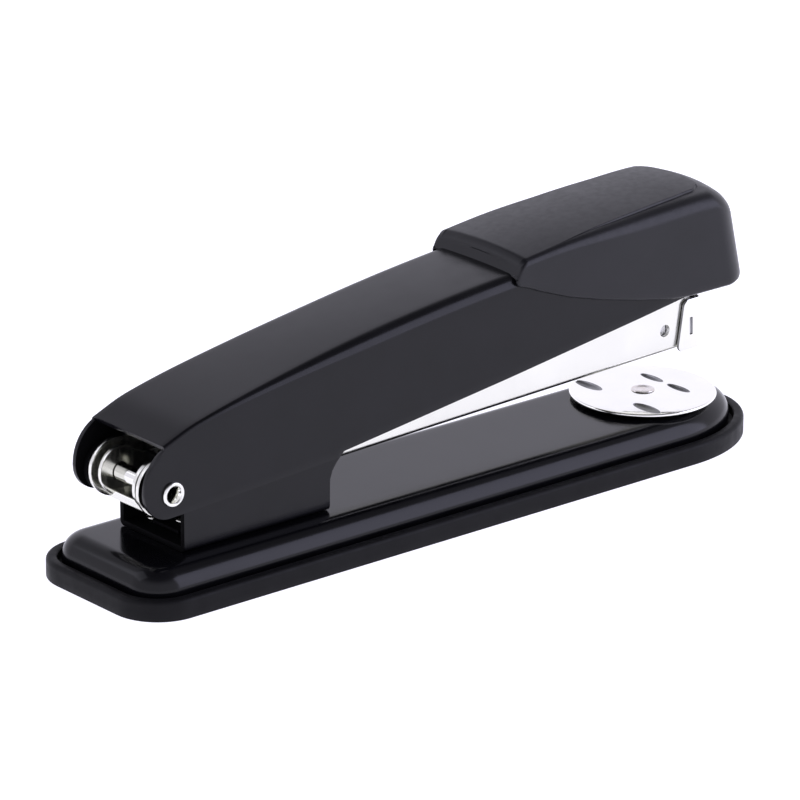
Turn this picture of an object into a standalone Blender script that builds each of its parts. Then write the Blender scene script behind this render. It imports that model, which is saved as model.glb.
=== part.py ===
"""Desk stapler with a full-length staple magazine, as separate named pieces.

The origin is on the table under the middle of the base. +X points to the staple nose, +Z is up,
and the object is symmetric about the plane Y = 0. Sizes below are in millimetres and the meshes
are written in metres. The magazine and everything on it is drawn in the magazine's own frame:
its origin is the hinge axis and its x axis runs along the magazine.
"""

from math import atan2, cos, pi, radians, sin

import bmesh
import bpy
from mathutils import Matrix, Vector

MM = 0.001

# Base
BASE_LENGTH = 160.0
BASE_WIDTH = 37.8
BASE_REAR_RADIUS = 9.7
BASE_NOSE_LENGTH = 24.8
RUBBER_HEIGHT = 4.1
RUBBER_FLOOR = 2.0
RUBBER_RIM = 2.1
PLATE_INSET = 3.0
PLATE_SHEET = 1.0
PLATE_FOOT_Z = 2.3
PLATE_TOP_Z = 8.4
PLATE_SHOULDER = 4.3

# Hinge
PIVOT_X = -68.2
PIVOT_Z = 21.4
PIVOT_PIN_RADIUS = 1.7
PIVOT_HOLE_RADIUS = 1.77
PIVOT_BORE_RADIUS = 1.2
PIVOT_HEAD_RADIUS = 2.5
PIVOT_HEAD_INNER = 11.05
PIVOT_HEAD_OUTER = 11.6

# Bracket riveted to the base plate
BRACKET_SHEET = 1.1
BRACKET_HALF_WIDTH = 9.7
BRACKET_REAR_X = -64.6
BRACKET_FRONT_X = -30.0
BRACKET_FOOT_Z = PLATE_TOP_Z + 0.25
BRACKET_FLOOR_Z = BRACKET_FOOT_Z + BRACKET_SHEET
BRACKET_LOBE_RADIUS = 4.8
RIVET_SHANK = 1.2
RIVET_HOLE = 1.3
RIVET_HEAD = 1.9
RIVET_HEAD_HEIGHT = 0.7
RIVET_LOW_Z = PLATE_TOP_Z - PLATE_SHEET - 0.05
BRACKET_RIVETS = ((-59.0, -6.2), (-59.0, 6.2), (-36.0, -6.2), (-36.0, 6.2))
LIFT_RIVET = (-57.0, 0.0)
LIFT_SPRING_HALF_WIDTH = 3.9

# Anvil
ANVIL_X = 58.1
ANVIL_RADIUS = 14.6
ANVIL_SHEET = 0.75
ANVIL_SEAT_RADIUS = 7.0
ANVIL_SEAT_Z = PLATE_TOP_Z + 0.4
ANVIL_FOOT_Z = ANVIL_SEAT_Z + 0.2
ANVIL_TOP_Z = ANVIL_FOOT_Z + ANVIL_SHEET
GROOVE_DEPTH = 0.45
GROOVES_IN = (6.0, 3.9, 3.2)
GROOVES_OUT = (-6.7, 8.5, 3.3)
GROOVE_HALF_WIDTH = 1.0
STEM_RADIUS = 1.6
STEM_HOLE = 1.68
STEM_FOOT_Z = 1.7
BUTTON_PAD_RADIUS = 3.8
BUTTON_HOLE = 4.3
BUTTON_FLANGE_RADIUS = 5.4

# Magazine, in its own frame
MAGAZINE_PITCH = radians(1.72)
CHANNEL_HALF_WIDTH = 7.5
CHANNEL_SHEET = 0.8
CHANNEL_FOOT_Z = -5.5
CHANNEL_TOP_Z = 6.5
CHANNEL_CHEEK_Z = 9.3
CHANNEL_FRONT_X = 131.7
CHANNEL_LOBE = (0.4, 0.4, 5.6)
RAIL_HALF_WIDTH = 5.5
RAIL_SHEET = 0.8
RAIL_FOOT_Z = -4.1
RAIL_TOP_Z = 2.5
RAIL_LOBE_RADIUS = 4.9
RAIL_TABS = (6.0, 128.0)
RAIL_TAB_SHEET = 0.8
NOSE_SHEET = 0.6
NOSE_REAR_X = 128.3
NOSE_INNER_X = 133.4
NOSE_GAP = 0.15
NOSE_SIDE_TOP_Z = 4.5
NOSE_FRONT_TOP_Z = 6.4
NOSE_SLOT = (131.3, -2.9, 1.4, 0.7)
SIGHT_HOLE = (124.95, -0.8, 1.25)
ROD_RADIUS = 0.8
ROD_Z = -0.4
STAPLE_HALF_WIDTH = 6.45
STAPLE_WIRE = 0.5
STAPLE_LEG_Z = -2.7
STAPLE_CROWN_Z = 3.3
STRIP_FRONT_X = 131.6
STRIP_LENGTH = 26.0
FOLLOWER_LENGTH = 12.5
FOLLOWER_SHEET = 0.7
FOLLOWER_SPRING_RADIUS = 2.1
FOLLOWER_SPRING_WIRE = 0.3
FOLLOWER_SPRING_TURNS = 27

# Cover and cap
COVER_SHEET = 0.9
COVER_REAR_HALF_WIDTH = 10.9
COVER_FRONT_HALF_WIDTH = 12.0
COVER_CROWN = 0.7
COVER_SHOULDER = 2.0
COVER_FRONT_X = 68.0
COVER_TOP = ((-76.0, 28.6), (-69.9, 31.0), (-62.5, 33.8), (-45.0, 37.7), (-20.8, 41.9), (4.0, 45.1),
             (30.0, 47.2), (70.0, 48.5))
COVER_LOBE = (-69.0, 22.4, 5.6)
CAP_SHEET = 1.6
CAP_HALF_WIDTH = 13.0
CAP_CROWN = 0.8
CAP_SHOULDER = 3.6
CAP_GAP = 0.2
CAP_REAR_X = 13.0
CAP_FRONT_X = 76.2
CAP_FOOT_Z = 32.5
CAP_TOP = ((8.0, 48.0), (20.0, 49.5), (30.0, 50.6), (43.0, 51.6), (56.5, 52.3), (63.0, 52.3),
           (68.5, 51.4), (71.3, 49.6), (73.0, 46.6), (74.6, 41.0), (76.2, 34.2))
BLADE_SHEET = 0.55
BLADE_HALF_WIDTH = 6.2
BLADE_FOOT = (131.8, 4.4)
BLADE_HEAD_Z = 22.4
BLADE_LEAN = radians(2.1)
BLADE_TAB_X = 117.5
BLADE_RIVETS = ((52.0, -3.2), (52.0, 3.2))
RETURN_RIVET = (32.0, 0.0)
RETURN_SPRING_HALF_WIDTH = 7.1


# ---------------------------------------------------------------------------
# Geometry helpers
# ---------------------------------------------------------------------------

def clear_scene():
    for item in list(bpy.data.objects):
        bpy.data.objects.remove(item, do_unlink=True)


def make_material(name, colour, metallic, roughness):
    material = bpy.data.materials.new(name)
    material.use_nodes = True
    shader = material.node_tree.nodes["Principled BSDF"]
    shader.inputs["Base Color"].default_value = (*colour, 1.0)
    shader.inputs["Metallic"].default_value = metallic
    shader.inputs["Roughness"].default_value = roughness
    return material


def arc(centre_a, centre_b, radius, start, end, steps):
    """Points of an arc in a plane, both ends included, angles in degrees."""
    angles = [radians(start + (end - start) * i / steps) for i in range(steps + 1)]
    return [(centre_a + radius * cos(t), centre_b + radius * sin(t)) for t in angles]


def curve_height(points, x):
    """Height at x of the smooth curve through points."""
    last = len(points) - 1
    i = 0
    while i < last - 1 and x > points[i + 1][0]:
        i += 1
    (x0, z0), (x1, z1) = points[i], points[i + 1]
    before = points[max(i - 1, 0)]
    after = points[min(i + 2, last)]
    slope0 = (z1 - before[1]) / (x1 - before[0])
    slope1 = (after[1] - z0) / (after[0] - x0)
    span = x1 - x0
    t = min(max((x - x0) / span, 0.0), 1.0)
    return ((2 * t ** 3 - 3 * t ** 2 + 1) * z0 + (t ** 3 - 2 * t ** 2 + t) * span * slope0
            + (3 * t ** 2 - 2 * t ** 3) * z1 + (t ** 3 - t ** 2) * span * slope1)


def face_outwards(mesh):
    bmesh.ops.recalc_face_normals(mesh, faces=mesh.faces)
    if mesh.calc_volume(signed=True) < 0:
        bmesh.ops.reverse_faces(mesh, faces=mesh.faces)


def loft(rings, closed=False):
    """A solid through rings of points, capped at both ends unless it closes on itself."""
    mesh = bmesh.new()
    loops = [[mesh.verts.new(p) for p in ring] for ring in rings]
    pairs = list(zip(loops, loops[1:]))
    if closed:
        pairs.append((loops[-1], loops[0]))
    for first, second in pairs:
        for i in range(len(first)):
            j = (i + 1) % len(first)
            mesh.faces.new((first[i], first[j], second[j], second[i]))
    if not closed:
        mesh.faces.new(loops[0])
        mesh.faces.new(loops[-1])
    face_outwards(mesh)
    return mesh


def prism_y(outline, low, high):
    """An outline of (x, z) points extruded from y = low to y = high."""
    return loft([[(x, y, z) for x, z in outline] for y in (low, high)])


def prism_x(outline, low, high):
    """An outline of (y, z) points extruded from x = low to x = high."""
    return loft([[(x, y, z) for y, z in outline] for x in (low, high)])


def box(low, high):
    corners = ((low[0], low[2]), (high[0], low[2]), (high[0], high[2]), (low[0], high[2]))
    return prism_y(corners, low[1], high[1])


def merged(meshes):
    """Several separate solids in one mesh, for cutters only."""
    result = bmesh.new()
    for mesh in meshes:
        holder = bpy.data.meshes.new("holder")
        mesh.to_mesh(holder)
        mesh.free()
        result.from_mesh(holder)
        bpy.data.meshes.remove(holder)
    return result


def turned(profile, centre, axis="Z", segments=24):
    """A solid of revolution. profile holds (radius, along) points and starts and ends on the
    axis, unless no point is on it: then it closes on itself and leaves a bore."""
    bored = min(r for r, _ in profile) > 0
    inner = profile if bored else profile[1:-1]
    rings = []
    for radius, along in inner:
        angles = [2 * pi * i / segments for i in range(segments)]
        rings.append([(radius * cos(t), radius * sin(t), along) for t in angles])
    mesh = loft(rings, closed=bored)
    turn = Matrix.Rotation(-pi / 2, 4, "X") if axis == "Y" else Matrix.Identity(4)
    if axis == "X":
        turn = Matrix.Rotation(pi / 2, 4, "Y")
    mesh.transform(Matrix.Translation(centre) @ turn)
    return mesh


def disc(radius, low, high, centre, axis="Z", segments=24):
    return turned([(0, low), (radius, low), (radius, high), (0, high)], centre, axis, segments)


def rivet(low, high, head, height, centre, segments=14):
    """A set rivet along Z: the shank from low to high, with a domed head beyond each end."""
    profile = [(0, low - height), (head * 0.7, low - height), (head, low - height * 0.4), (head, low),
               (RIVET_SHANK, low), (RIVET_SHANK, high), (head, high), (head, high + height * 0.4),
               (head * 0.7, high + height), (0, high + height)]
    return turned(profile, centre, "Z", segments)


def coil(radius, wire, turns, low, high, axis, centre, steps=9, sides=3):
    """A helical spring along the axis, from low to high."""
    rings = []
    count = turns * steps
    rise = (high - low - 2 * wire) / count
    for i in range(count + 1):
        t = 2 * pi * i / steps
        out = Vector((cos(t), sin(t), 0))
        middle = out * radius + Vector((0, 0, low + wire + rise * i))
        ring = []
        for k in range(sides):
            a = 2 * pi * k / sides
            ring.append(tuple(middle + out * (wire * cos(a)) + Vector((0, 0, wire * sin(a)))))
        rings.append(ring)
    mesh = loft(rings)
    if axis == "X":
        mesh.transform(Matrix.Rotation(pi / 2, 4, "Y"))
    mesh.transform(Matrix.Translation(centre))
    return mesh


def ribbon(points, sheet, half_width):
    """A leaf spring: a strip of sheet bent along points of (x, z), below which its thickness lies."""
    below = []
    for i, (x, z) in enumerate(points):
        x0, z0 = points[max(i - 1, 0)]
        x1, z1 = points[min(i + 1, len(points) - 1)]
        tilt = atan2(z1 - z0, x1 - x0)
        below.append((x + sheet * sin(tilt), z - sheet * cos(tilt)))
    return prism_y(list(points) + below[::-1], -half_width, half_width)


# ---------------------------------------------------------------------------
# Objects
# ---------------------------------------------------------------------------

def new_axis(name, x, z, pitch=0.0):
    """An empty on the hinge axis that carries the pieces of one moving group."""
    empty = bpy.data.objects.new(name, None)
    bpy.context.scene.collection.objects.link(empty)
    empty.location = (x * MM, 0, z * MM)
    empty.rotation_euler = (0, -pitch, 0)
    empty.empty_display_size = 0.01
    return empty


def add_object(name, mesh, parent=None, shift=(0, 0, 0)):
    """An object from a mesh in millimetres. shift is where its own origin goes."""
    mesh.transform(Matrix.Translation(-Vector(shift)))
    mesh.transform(Matrix.Scale(MM, 4))
    data = bpy.data.meshes.new(name)
    mesh.to_mesh(data)
    mesh.free()
    item = bpy.data.objects.new(name, data)
    bpy.context.scene.collection.objects.link(item)
    item.parent = parent
    item.location = Vector(shift) * MM
    return item


def add_piece(name, mesh, material, parent=None, shift=(0, 0, 0), smooth=True):
    item = add_object(name, mesh, parent, shift)
    item.data.materials.append(material)
    if smooth:
        item.data.shade_smooth()
        item.data.set_sharp_from_angle(angle=radians(35))
    return item


def add_boolean(item, mesh, operation, label):
    """Cuts, joins or keeps the overlap of a helper solid, drawn in the frame of the item."""
    helper = add_object(f"{item.name}_{label}", mesh, item.parent)
    helper.hide_render = True
    helper.display_type = "WIRE"
    modifier = item.modifiers.new(label, "BOOLEAN")
    modifier.operation = operation
    modifier.object = helper
    modifier.solver = "EXACT"


def to_hinge(x, z):
    """A point of the whole object's frame, seen from the hinge axis without pitch."""
    return x - PIVOT_X, z - PIVOT_Z


def from_magazine(x, z):
    """A point of the magazine's frame, seen from the hinge axis without pitch."""
    return x * cos(MAGAZINE_PITCH) - z * sin(MAGAZINE_PITCH), x * sin(MAGAZINE_PITCH) + z * cos(MAGAZINE_PITCH)


def rivet_hole(x, y):
    """A cutter for a rivet under the cover, at x of the whole object's frame."""
    return disc(RIVET_HOLE, 15, 40, (x - PIVOT_X, y, 0), segments=14)


# ---------------------------------------------------------------------------
# Base
# ---------------------------------------------------------------------------

def base_outline(inset):
    """Plan outline of the base, moved in by inset: round rear corners and a half-ellipse nose."""
    half_length = BASE_LENGTH / 2
    half_width = BASE_WIDTH / 2
    nose_x = half_length - BASE_NOSE_LENGTH
    rear_x = -half_length + BASE_REAR_RADIUS
    corner_y = half_width - BASE_REAR_RADIUS
    radius = BASE_REAR_RADIUS - inset
    points = arc(rear_x, corner_y, radius, 90, 180, 6)
    points += arc(rear_x, -corner_y, radius, 180, 270, 6)
    for i in range(25):
        t = radians(-90 + 180 * i / 24)
        points.append((nose_x + (BASE_NOSE_LENGTH - inset) * cos(t), (half_width - inset) * sin(t)))
    return points


def base_rings(levels):
    return [[(x, y, z) for x, y in base_outline(inset)] for inset, z in levels]


def make_rubber_base(rubber):
    top = RUBBER_HEIGHT
    levels = [(0.25, 0), (0, 0.25), (0, top - 0.8), (0.35, top - 0.2), (0.8, top), (RUBBER_RIM - 0.2, top),
              (RUBBER_RIM, top - 0.2), (RUBBER_RIM, RUBBER_FLOOR)]
    item = add_piece("rubber_base", loft(base_rings(levels)), rubber)
    add_boolean(item, disc(BUTTON_HOLE, -1, RUBBER_FLOOR + 1, (ANVIL_X, 0, 0)), "DIFFERENCE", "button_hole")


def make_base_plate(gloss):
    def shoulder(sheet):
        radius = PLATE_SHOULDER - sheet
        return arc(PLATE_INSET + PLATE_SHOULDER, PLATE_TOP_Z - PLATE_SHOULDER, radius, 90, 180, 8)

    outer = shoulder(0) + [(PLATE_INSET, PLATE_FOOT_Z)]
    inner = shoulder(PLATE_SHEET) + [(PLATE_INSET + PLATE_SHEET, PLATE_FOOT_Z)]
    item = add_piece("base_plate", loft(base_rings(outer + inner[::-1])), gloss)
    seat = disc(ANVIL_SEAT_RADIUS, PLATE_TOP_Z - PLATE_SHEET / 2, ANVIL_SEAT_Z, (ANVIL_X, 0, 0))
    add_boolean(item, seat, "UNION", "anvil_seat")
    holes = [disc(RIVET_HOLE, 5, 12, (x, y, 0), segments=14) for x, y in (*BRACKET_RIVETS, LIFT_RIVET)]
    holes.append(disc(STEM_HOLE, 5, 12, (ANVIL_X, 0, 0)))
    add_boolean(item, merged(holes), "DIFFERENCE", "holes")


def make_bracket(paint):
    """The folded bracket on the base plate, whose two ears carry the hinge."""
    front = BRACKET_FRONT_X
    outline = [(BRACKET_REAR_X, BRACKET_FOOT_Z), (front, BRACKET_FOOT_Z), (front, 14.6)]
    outline += [(front + 0.6, 16.4), (front + 1.7, 17.9), (front + 3.0, 19.2), (front + 1.0, 22.0)]
    outline += [(-40.0, 24.6), (-60.0, 26.0)]
    outline += arc(PIVOT_X, PIVOT_Z, BRACKET_LOBE_RADIUS, 80, 250, 12)
    outline += [(BRACKET_REAR_X, 15.9)]
    item = add_piece("hinge_bracket", prism_y(outline, -BRACKET_HALF_WIDTH, BRACKET_HALF_WIDTH), paint)
    inner = BRACKET_HALF_WIDTH - BRACKET_SHEET
    add_boolean(item, box((-90, -inner, BRACKET_FLOOR_Z), (0, inner, 40)), "DIFFERENCE", "inside")
    pin = disc(PIVOT_HOLE_RADIUS, -20, 20, (PIVOT_X, 0, PIVOT_Z), "Y")
    holes = [disc(RIVET_HOLE, 5, 12, (x, y, 0), segments=14) for x, y in (*BRACKET_RIVETS, LIFT_RIVET)]
    add_boolean(item, merged([pin, *holes]), "DIFFERENCE", "holes")


def make_rivets(steel):
    high = BRACKET_FLOOR_Z + 0.05
    for number, (x, y) in enumerate(BRACKET_RIVETS, 1):
        mesh = rivet(RIVET_LOW_Z, high, RIVET_HEAD, RIVET_HEAD_HEIGHT, (x, y, 0))
        add_piece(f"bracket_rivet_{number}", mesh, steel)


def make_pivot_rivet(chrome):
    """The tubular rivet through cover, bracket, magazine and rail, flared at both ends."""
    half = [(PIVOT_PIN_RADIUS, 0), (PIVOT_PIN_RADIUS, PIVOT_HEAD_INNER), (PIVOT_HEAD_RADIUS, PIVOT_HEAD_INNER),
            (PIVOT_HEAD_RADIUS, PIVOT_HEAD_OUTER - 0.2), (2.15, PIVOT_HEAD_OUTER), (1.65, PIVOT_HEAD_OUTER),
            (PIVOT_BORE_RADIUS, PIVOT_HEAD_OUTER - 0.6), (PIVOT_BORE_RADIUS, 0)]
    profile = half[1:-1] + [(r, -y) for r, y in half[-2:0:-1]]
    add_piece("pivot_rivet", turned(profile, (PIVOT_X, 0, PIVOT_Z), "Y"), chrome)


def make_lift_spring(spring_steel, steel):
    """The leaf spring that holds the magazine up off the anvil, riveted to the bracket."""
    foot_z = BRACKET_FLOOR_Z + 0.75
    path = [(-61.5, foot_z), (-52.0, foot_z)]
    path += [(-47.0, foot_z + 0.6), (-42.0, foot_z + 2.2), (-37.5, foot_z + 4.6), (-34.0, 16.75)]
    path += [(-32.6, 16.9), (-31.4, 16.3)]
    item = add_piece("lift_spring", ribbon(path, 0.6, LIFT_SPRING_HALF_WIDTH), spring_steel)
    add_boolean(item, disc(RIVET_HOLE, 5, 20, (*LIFT_RIVET, 0), segments=14), "DIFFERENCE", "hole")
    mesh = rivet(RIVET_LOW_Z, foot_z + 0.05, RIVET_HEAD, RIVET_HEAD_HEIGHT, (*LIFT_RIVET, 0))
    add_piece("lift_spring_rivet", mesh, steel)


# ---------------------------------------------------------------------------
# Anvil
# ---------------------------------------------------------------------------

def groove_cutter(x, y, half_length):
    """A shallow boat-shaped pocket across the disc, where the staple legs are turned."""
    mesh = bmesh.new()
    bmesh.ops.create_uvsphere(mesh, u_segments=14, v_segments=8, radius=1.0)
    size = Matrix.Diagonal((GROOVE_HALF_WIDTH, half_length, GROOVE_DEPTH, 1.0))
    mesh.transform(Matrix.Translation((x, y, ANVIL_TOP_Z + 0.02)) @ size)
    return mesh


def make_anvil(chrome, plastic, spring_steel):
    axis = (ANVIL_X, 0, 0)
    edge = 0.25
    profile = [(0, ANVIL_FOOT_Z), (ANVIL_RADIUS - edge, ANVIL_FOOT_Z), (ANVIL_RADIUS, ANVIL_FOOT_Z + edge),
               (ANVIL_RADIUS, ANVIL_TOP_Z - edge), (ANVIL_RADIUS - edge, ANVIL_TOP_Z), (0, ANVIL_TOP_Z)]
    anvil = add_piece("anvil_disc", turned(profile, axis, "Z", 48), chrome, shift=axis)
    cutters = [disc(STEM_HOLE, 0, 20, axis)]
    for offset, middle, half_length in (GROOVES_IN, GROOVES_OUT):
        for side in (-1, 1):
            cutters.append(groove_cutter(ANVIL_X + offset, side * middle, half_length))
    add_boolean(anvil, merged(cutters), "DIFFERENCE", "grooves")

    head_z = ANVIL_TOP_Z + 0.05
    stem = [(0, STEM_FOOT_Z), (STEM_RADIUS, STEM_FOOT_Z), (STEM_RADIUS, head_z), (2.15, head_z),
            (2.15, head_z + 0.2), (1.6, head_z + 0.45), (0, head_z + 0.5)]
    add_piece("anvil_stem", turned(stem, axis), chrome, shift=axis)

    floor = RUBBER_FLOOR + 0.3
    button = [(0, 0.5), (BUTTON_PAD_RADIUS - 0.4, 0.5), (BUTTON_PAD_RADIUS, 0.9), (BUTTON_PAD_RADIUS, floor),
              (BUTTON_FLANGE_RADIUS, floor), (BUTTON_FLANGE_RADIUS, floor + 0.9), (STEM_HOLE, floor + 0.9),
              (STEM_HOLE, STEM_FOOT_Z - 0.1), (0, STEM_FOOT_Z - 0.1)]
    add_piece("anvil_button", turned(button, axis), plastic, shift=axis)
    mesh = coil(3.3, 0.35, 4, floor + 1.0, PLATE_TOP_Z - PLATE_SHEET - 0.1, "Z", axis, steps=12, sides=4)
    add_piece("anvil_spring", mesh, spring_steel, shift=axis)


# ---------------------------------------------------------------------------
# Magazine, drawn along its own axis from the hinge
# ---------------------------------------------------------------------------

def make_channel(steel, axis):
    """The bright outer channel that holds the staples at their sides."""
    lobe_x, lobe_z, radius = CHANNEL_LOBE
    outline = arc(lobe_x, lobe_z, radius, 75, 270, 16)
    outline += [(CHANNEL_FRONT_X, CHANNEL_FOOT_Z), (CHANNEL_FRONT_X, CHANNEL_CHEEK_Z), (118.0, CHANNEL_CHEEK_Z)]
    outline += [(110.0, CHANNEL_TOP_Z), (8.0, CHANNEL_TOP_Z)]
    item = add_piece("magazine_channel", prism_y(outline, -CHANNEL_HALF_WIDTH, CHANNEL_HALF_WIDTH), steel, axis)
    inner = CHANNEL_HALF_WIDTH - CHANNEL_SHEET
    floor = CHANNEL_FOOT_Z + CHANNEL_SHEET
    add_boolean(item, box((-20, -inner, floor), (160, inner, 30)), "DIFFERENCE", "inside")
    slot_x, slot_low, slot_high = NOSE_SLOT[:3]
    tabs = []
    for side in (-1, 1):
        near = CHANNEL_HALF_WIDTH - 0.3
        far = CHANNEL_HALF_WIDTH + NOSE_GAP + NOSE_SHEET - 0.1
        low, high = sorted((side * near, side * far))
        tabs.append(box((slot_x - 0.2, low, slot_low + 0.2), (slot_x + 0.2, high, slot_high - 0.2)))
    add_boolean(item, merged(tabs), "UNION", "tabs")
    sight_x, sight_z, sight_radius = SIGHT_HOLE
    holes = [disc(PIVOT_HOLE_RADIUS, -20, 20, (0, 0, 0), "Y")]
    holes.append(disc(sight_radius, -20, 20, (sight_x, 0, sight_z), "Y", 16))
    add_boolean(item, merged(holes), "DIFFERENCE", "holes")


def make_rail(steel, axis):
    """The inner rail that the staples straddle, with two cross tabs for the guide rod."""
    outline = arc(0.2, 0.3, RAIL_LOBE_RADIUS, 50, 243, 12)
    outline += [(CHANNEL_FRONT_X - 0.1, RAIL_FOOT_Z), (CHANNEL_FRONT_X - 0.1, RAIL_TOP_Z), (5.5, RAIL_TOP_Z)]
    item = add_piece("staple_rail", prism_y(outline, -RAIL_HALF_WIDTH, RAIL_HALF_WIDTH), steel, axis)
    inner = RAIL_HALF_WIDTH - RAIL_SHEET
    floor = RAIL_FOOT_Z + RAIL_SHEET
    edges = [-20.0, RAIL_TABS[0], RAIL_TABS[0] + RAIL_TAB_SHEET, RAIL_TABS[1], RAIL_TABS[1] + RAIL_TAB_SHEET, 160.0]
    bays = [box((edges[i], -inner, floor), (edges[i + 1], inner, 30)) for i in (0, 2, 4)]
    add_boolean(item, merged(bays), "DIFFERENCE", "bays")
    pin = disc(PIVOT_HOLE_RADIUS, -20, 20, (0, 0, 0), "Y")
    rod = disc(ROD_RADIUS + 0.1, 4, 140, (0, 0, ROD_Z), "X", 12)
    add_boolean(item, merged([pin, rod]), "DIFFERENCE", "holes")


def make_nose(chrome, axis):
    """The plate wrapped round the magazine's front, between which and the rail a staple leaves."""
    inner_y = CHANNEL_HALF_WIDTH + NOSE_GAP
    outer_y = inner_y + NOSE_SHEET
    front_x = NOSE_INNER_X + NOSE_SHEET
    outline = [(NOSE_REAR_X, -outer_y)]
    outline += arc(front_x - 1.2, -outer_y + 1.2, 1.2, -90, 0, 4)
    outline += arc(front_x - 1.2, outer_y - 1.2, 1.2, 0, 90, 4)
    outline += [(NOSE_REAR_X, outer_y), (NOSE_REAR_X, inner_y)]
    outline += arc(NOSE_INNER_X - 0.6, inner_y - 0.6, 0.6, 90, 0, 3)
    outline += arc(NOSE_INNER_X - 0.6, -inner_y + 0.6, 0.6, 0, -90, 3)
    outline += [(NOSE_REAR_X, -inner_y)]
    rings = [[(x, y, z) for x, y in outline] for z in (CHANNEL_FOOT_Z - 0.1, NOSE_FRONT_TOP_Z)]
    item = add_piece("nose_guide", loft(rings), chrome, axis)
    slot_x, slot_low, slot_high, slot_width = NOSE_SLOT
    cutters = [box((slot_x - slot_width / 2, -12, slot_low), (slot_x + slot_width / 2, 12, slot_high))]
    cutters.append(box((NOSE_REAR_X - 1, -12, NOSE_SIDE_TOP_Z), (NOSE_INNER_X - 0.8, 12, 30)))
    add_boolean(item, merged(cutters), "DIFFERENCE", "slots")


def staple_section(inset=0.0):
    """The inverted U of a staple, seen from the front, as (y, z) points."""
    outer = STAPLE_HALF_WIDTH - inset
    inner = outer - STAPLE_WIRE
    crown = STAPLE_CROWN_Z
    return [(-outer, STAPLE_LEG_Z), (-outer, crown - 0.4), (-outer + 0.4, crown), (outer - 0.4, crown),
            (outer, crown - 0.4), (outer, STAPLE_LEG_Z), (inner, STAPLE_LEG_Z), (inner, crown - STAPLE_WIRE),
            (-inner, crown - STAPLE_WIRE), (-inner, STAPLE_LEG_Z)]


def make_feed(steel, spring_steel, zinc, axis):
    """Guide rod, follower, its spring and one strip of staples."""
    rear, front = RAIL_TABS
    rod = disc(ROD_RADIUS, rear - 1.2, front + 2.0, (0, 0, ROD_Z), "X", 12)
    add_piece("guide_rod", rod, steel, axis)
    strip_rear = STRIP_FRONT_X - STRIP_LENGTH
    add_piece("staple_strip", prism_x(staple_section(), strip_rear, STRIP_FRONT_X), zinc, axis)

    face = strip_rear - 0.15
    back = face - FOLLOWER_LENGTH
    origin = (back, 0, ROD_Z)
    follower = add_piece("follower", prism_x(staple_section(0.05), back, face), steel, axis)
    tongue = RAIL_HALF_WIDTH - RAIL_SHEET - 0.3
    low = RAIL_FOOT_Z + RAIL_SHEET + 0.3
    plate = box((back, -tongue, low), (back + FOLLOWER_SHEET, tongue, STAPLE_CROWN_Z - 0.2))
    add_boolean(follower, plate, "UNION", "tongue")
    add_boolean(follower, disc(ROD_RADIUS + 0.1, 4, 140, (0, 0, ROD_Z), "X", 12), "DIFFERENCE", "rod_hole")
    mesh = coil(FOLLOWER_SPRING_RADIUS, FOLLOWER_SPRING_WIRE, FOLLOWER_SPRING_TURNS,
                rear + RAIL_TAB_SHEET + 0.1, back - 0.1, "X", (0, 0, ROD_Z))
    add_piece("follower_spring", mesh, spring_steel, axis, shift=origin)


# ---------------------------------------------------------------------------
# Cover, cap and driver
# ---------------------------------------------------------------------------

def hood_section(x, half_width, edge_z, crown, shoulder, foot_z):
    """A cross-section of the cover or the cap: upright sides, round shoulders, a crowned top."""
    points = [(x, -half_width, foot_z)]
    for y, z in arc(half_width - shoulder, edge_z - shoulder, shoulder, 0, 90, 5):
        points.append((x, -y, z))
    flat = half_width - shoulder
    for i in range(1, 6):
        y = flat * (i / 3 - 1)
        points.append((x, y, edge_z + crown * (1 - (y / flat) ** 2)))
    for y, z in arc(half_width - shoulder, edge_z - shoulder, shoulder, 90, 0, 5):
        points.append((x, y, z))
    points.append((x, half_width, foot_z))
    return points


def cover_half_width(x):
    share = min(max((x + 70.0) / 84.0, 0.0), 1.0)
    return COVER_REAR_HALF_WIDTH + share * (COVER_FRONT_HALF_WIDTH - COVER_REAR_HALF_WIDTH)


def cover_loft(grow, low_x, high_x, stations=18, foot_z=5.0):
    """The cover's outer form, moved out by grow all round, from low_x to high_x."""
    rings = []
    for i in range(stations + 1):
        x = low_x + (high_x - low_x) * i / stations
        edge = curve_height(COVER_TOP, x) + grow
        shoulder = COVER_SHOULDER + grow
        rings.append(hood_section(x, cover_half_width(x) + grow, edge, COVER_CROWN, shoulder, foot_z))
    mesh = loft(rings)
    mesh.transform(Matrix.Translation((-PIVOT_X, 0, -PIVOT_Z)))
    return mesh


def make_cover(paint, axis):
    """The long sheet-metal cover that the hand presses."""
    item = add_piece("cover", cover_loft(0.0, -76.0, COVER_FRONT_X), paint, axis)
    lobe_x, lobe_z, radius = COVER_LOBE
    outline = [(-69.6, 33.2)] + arc(-63.5, 23.0, 11.0, 129, 178, 6)
    outline += arc(lobe_x, lobe_z, radius, 184, 270, 7)
    outline += [(-65.2, 17.0), (-29.3, 19.4), (-27.9, 20.5), (57.0, 32.2), (COVER_FRONT_X + 5, 33.8),
                (COVER_FRONT_X + 5, 60.0), (-60.0, 60.0)]
    side = prism_y([to_hinge(x, z) for x, z in outline], -30, 30)
    add_boolean(item, side, "INTERSECT", "side_outline")
    add_boolean(item, cover_loft(-COVER_SHEET, -80.0, COVER_FRONT_X + 8, 20), "DIFFERENCE", "inside")
    holes = [disc(PIVOT_HOLE_RADIUS, -20, 20, (0, 0, 0), "Y")]
    holes += [rivet_hole(x, y) for x, y in (*BLADE_RIVETS, RETURN_RIVET)]
    add_boolean(item, merged(holes), "DIFFERENCE", "holes")


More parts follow.
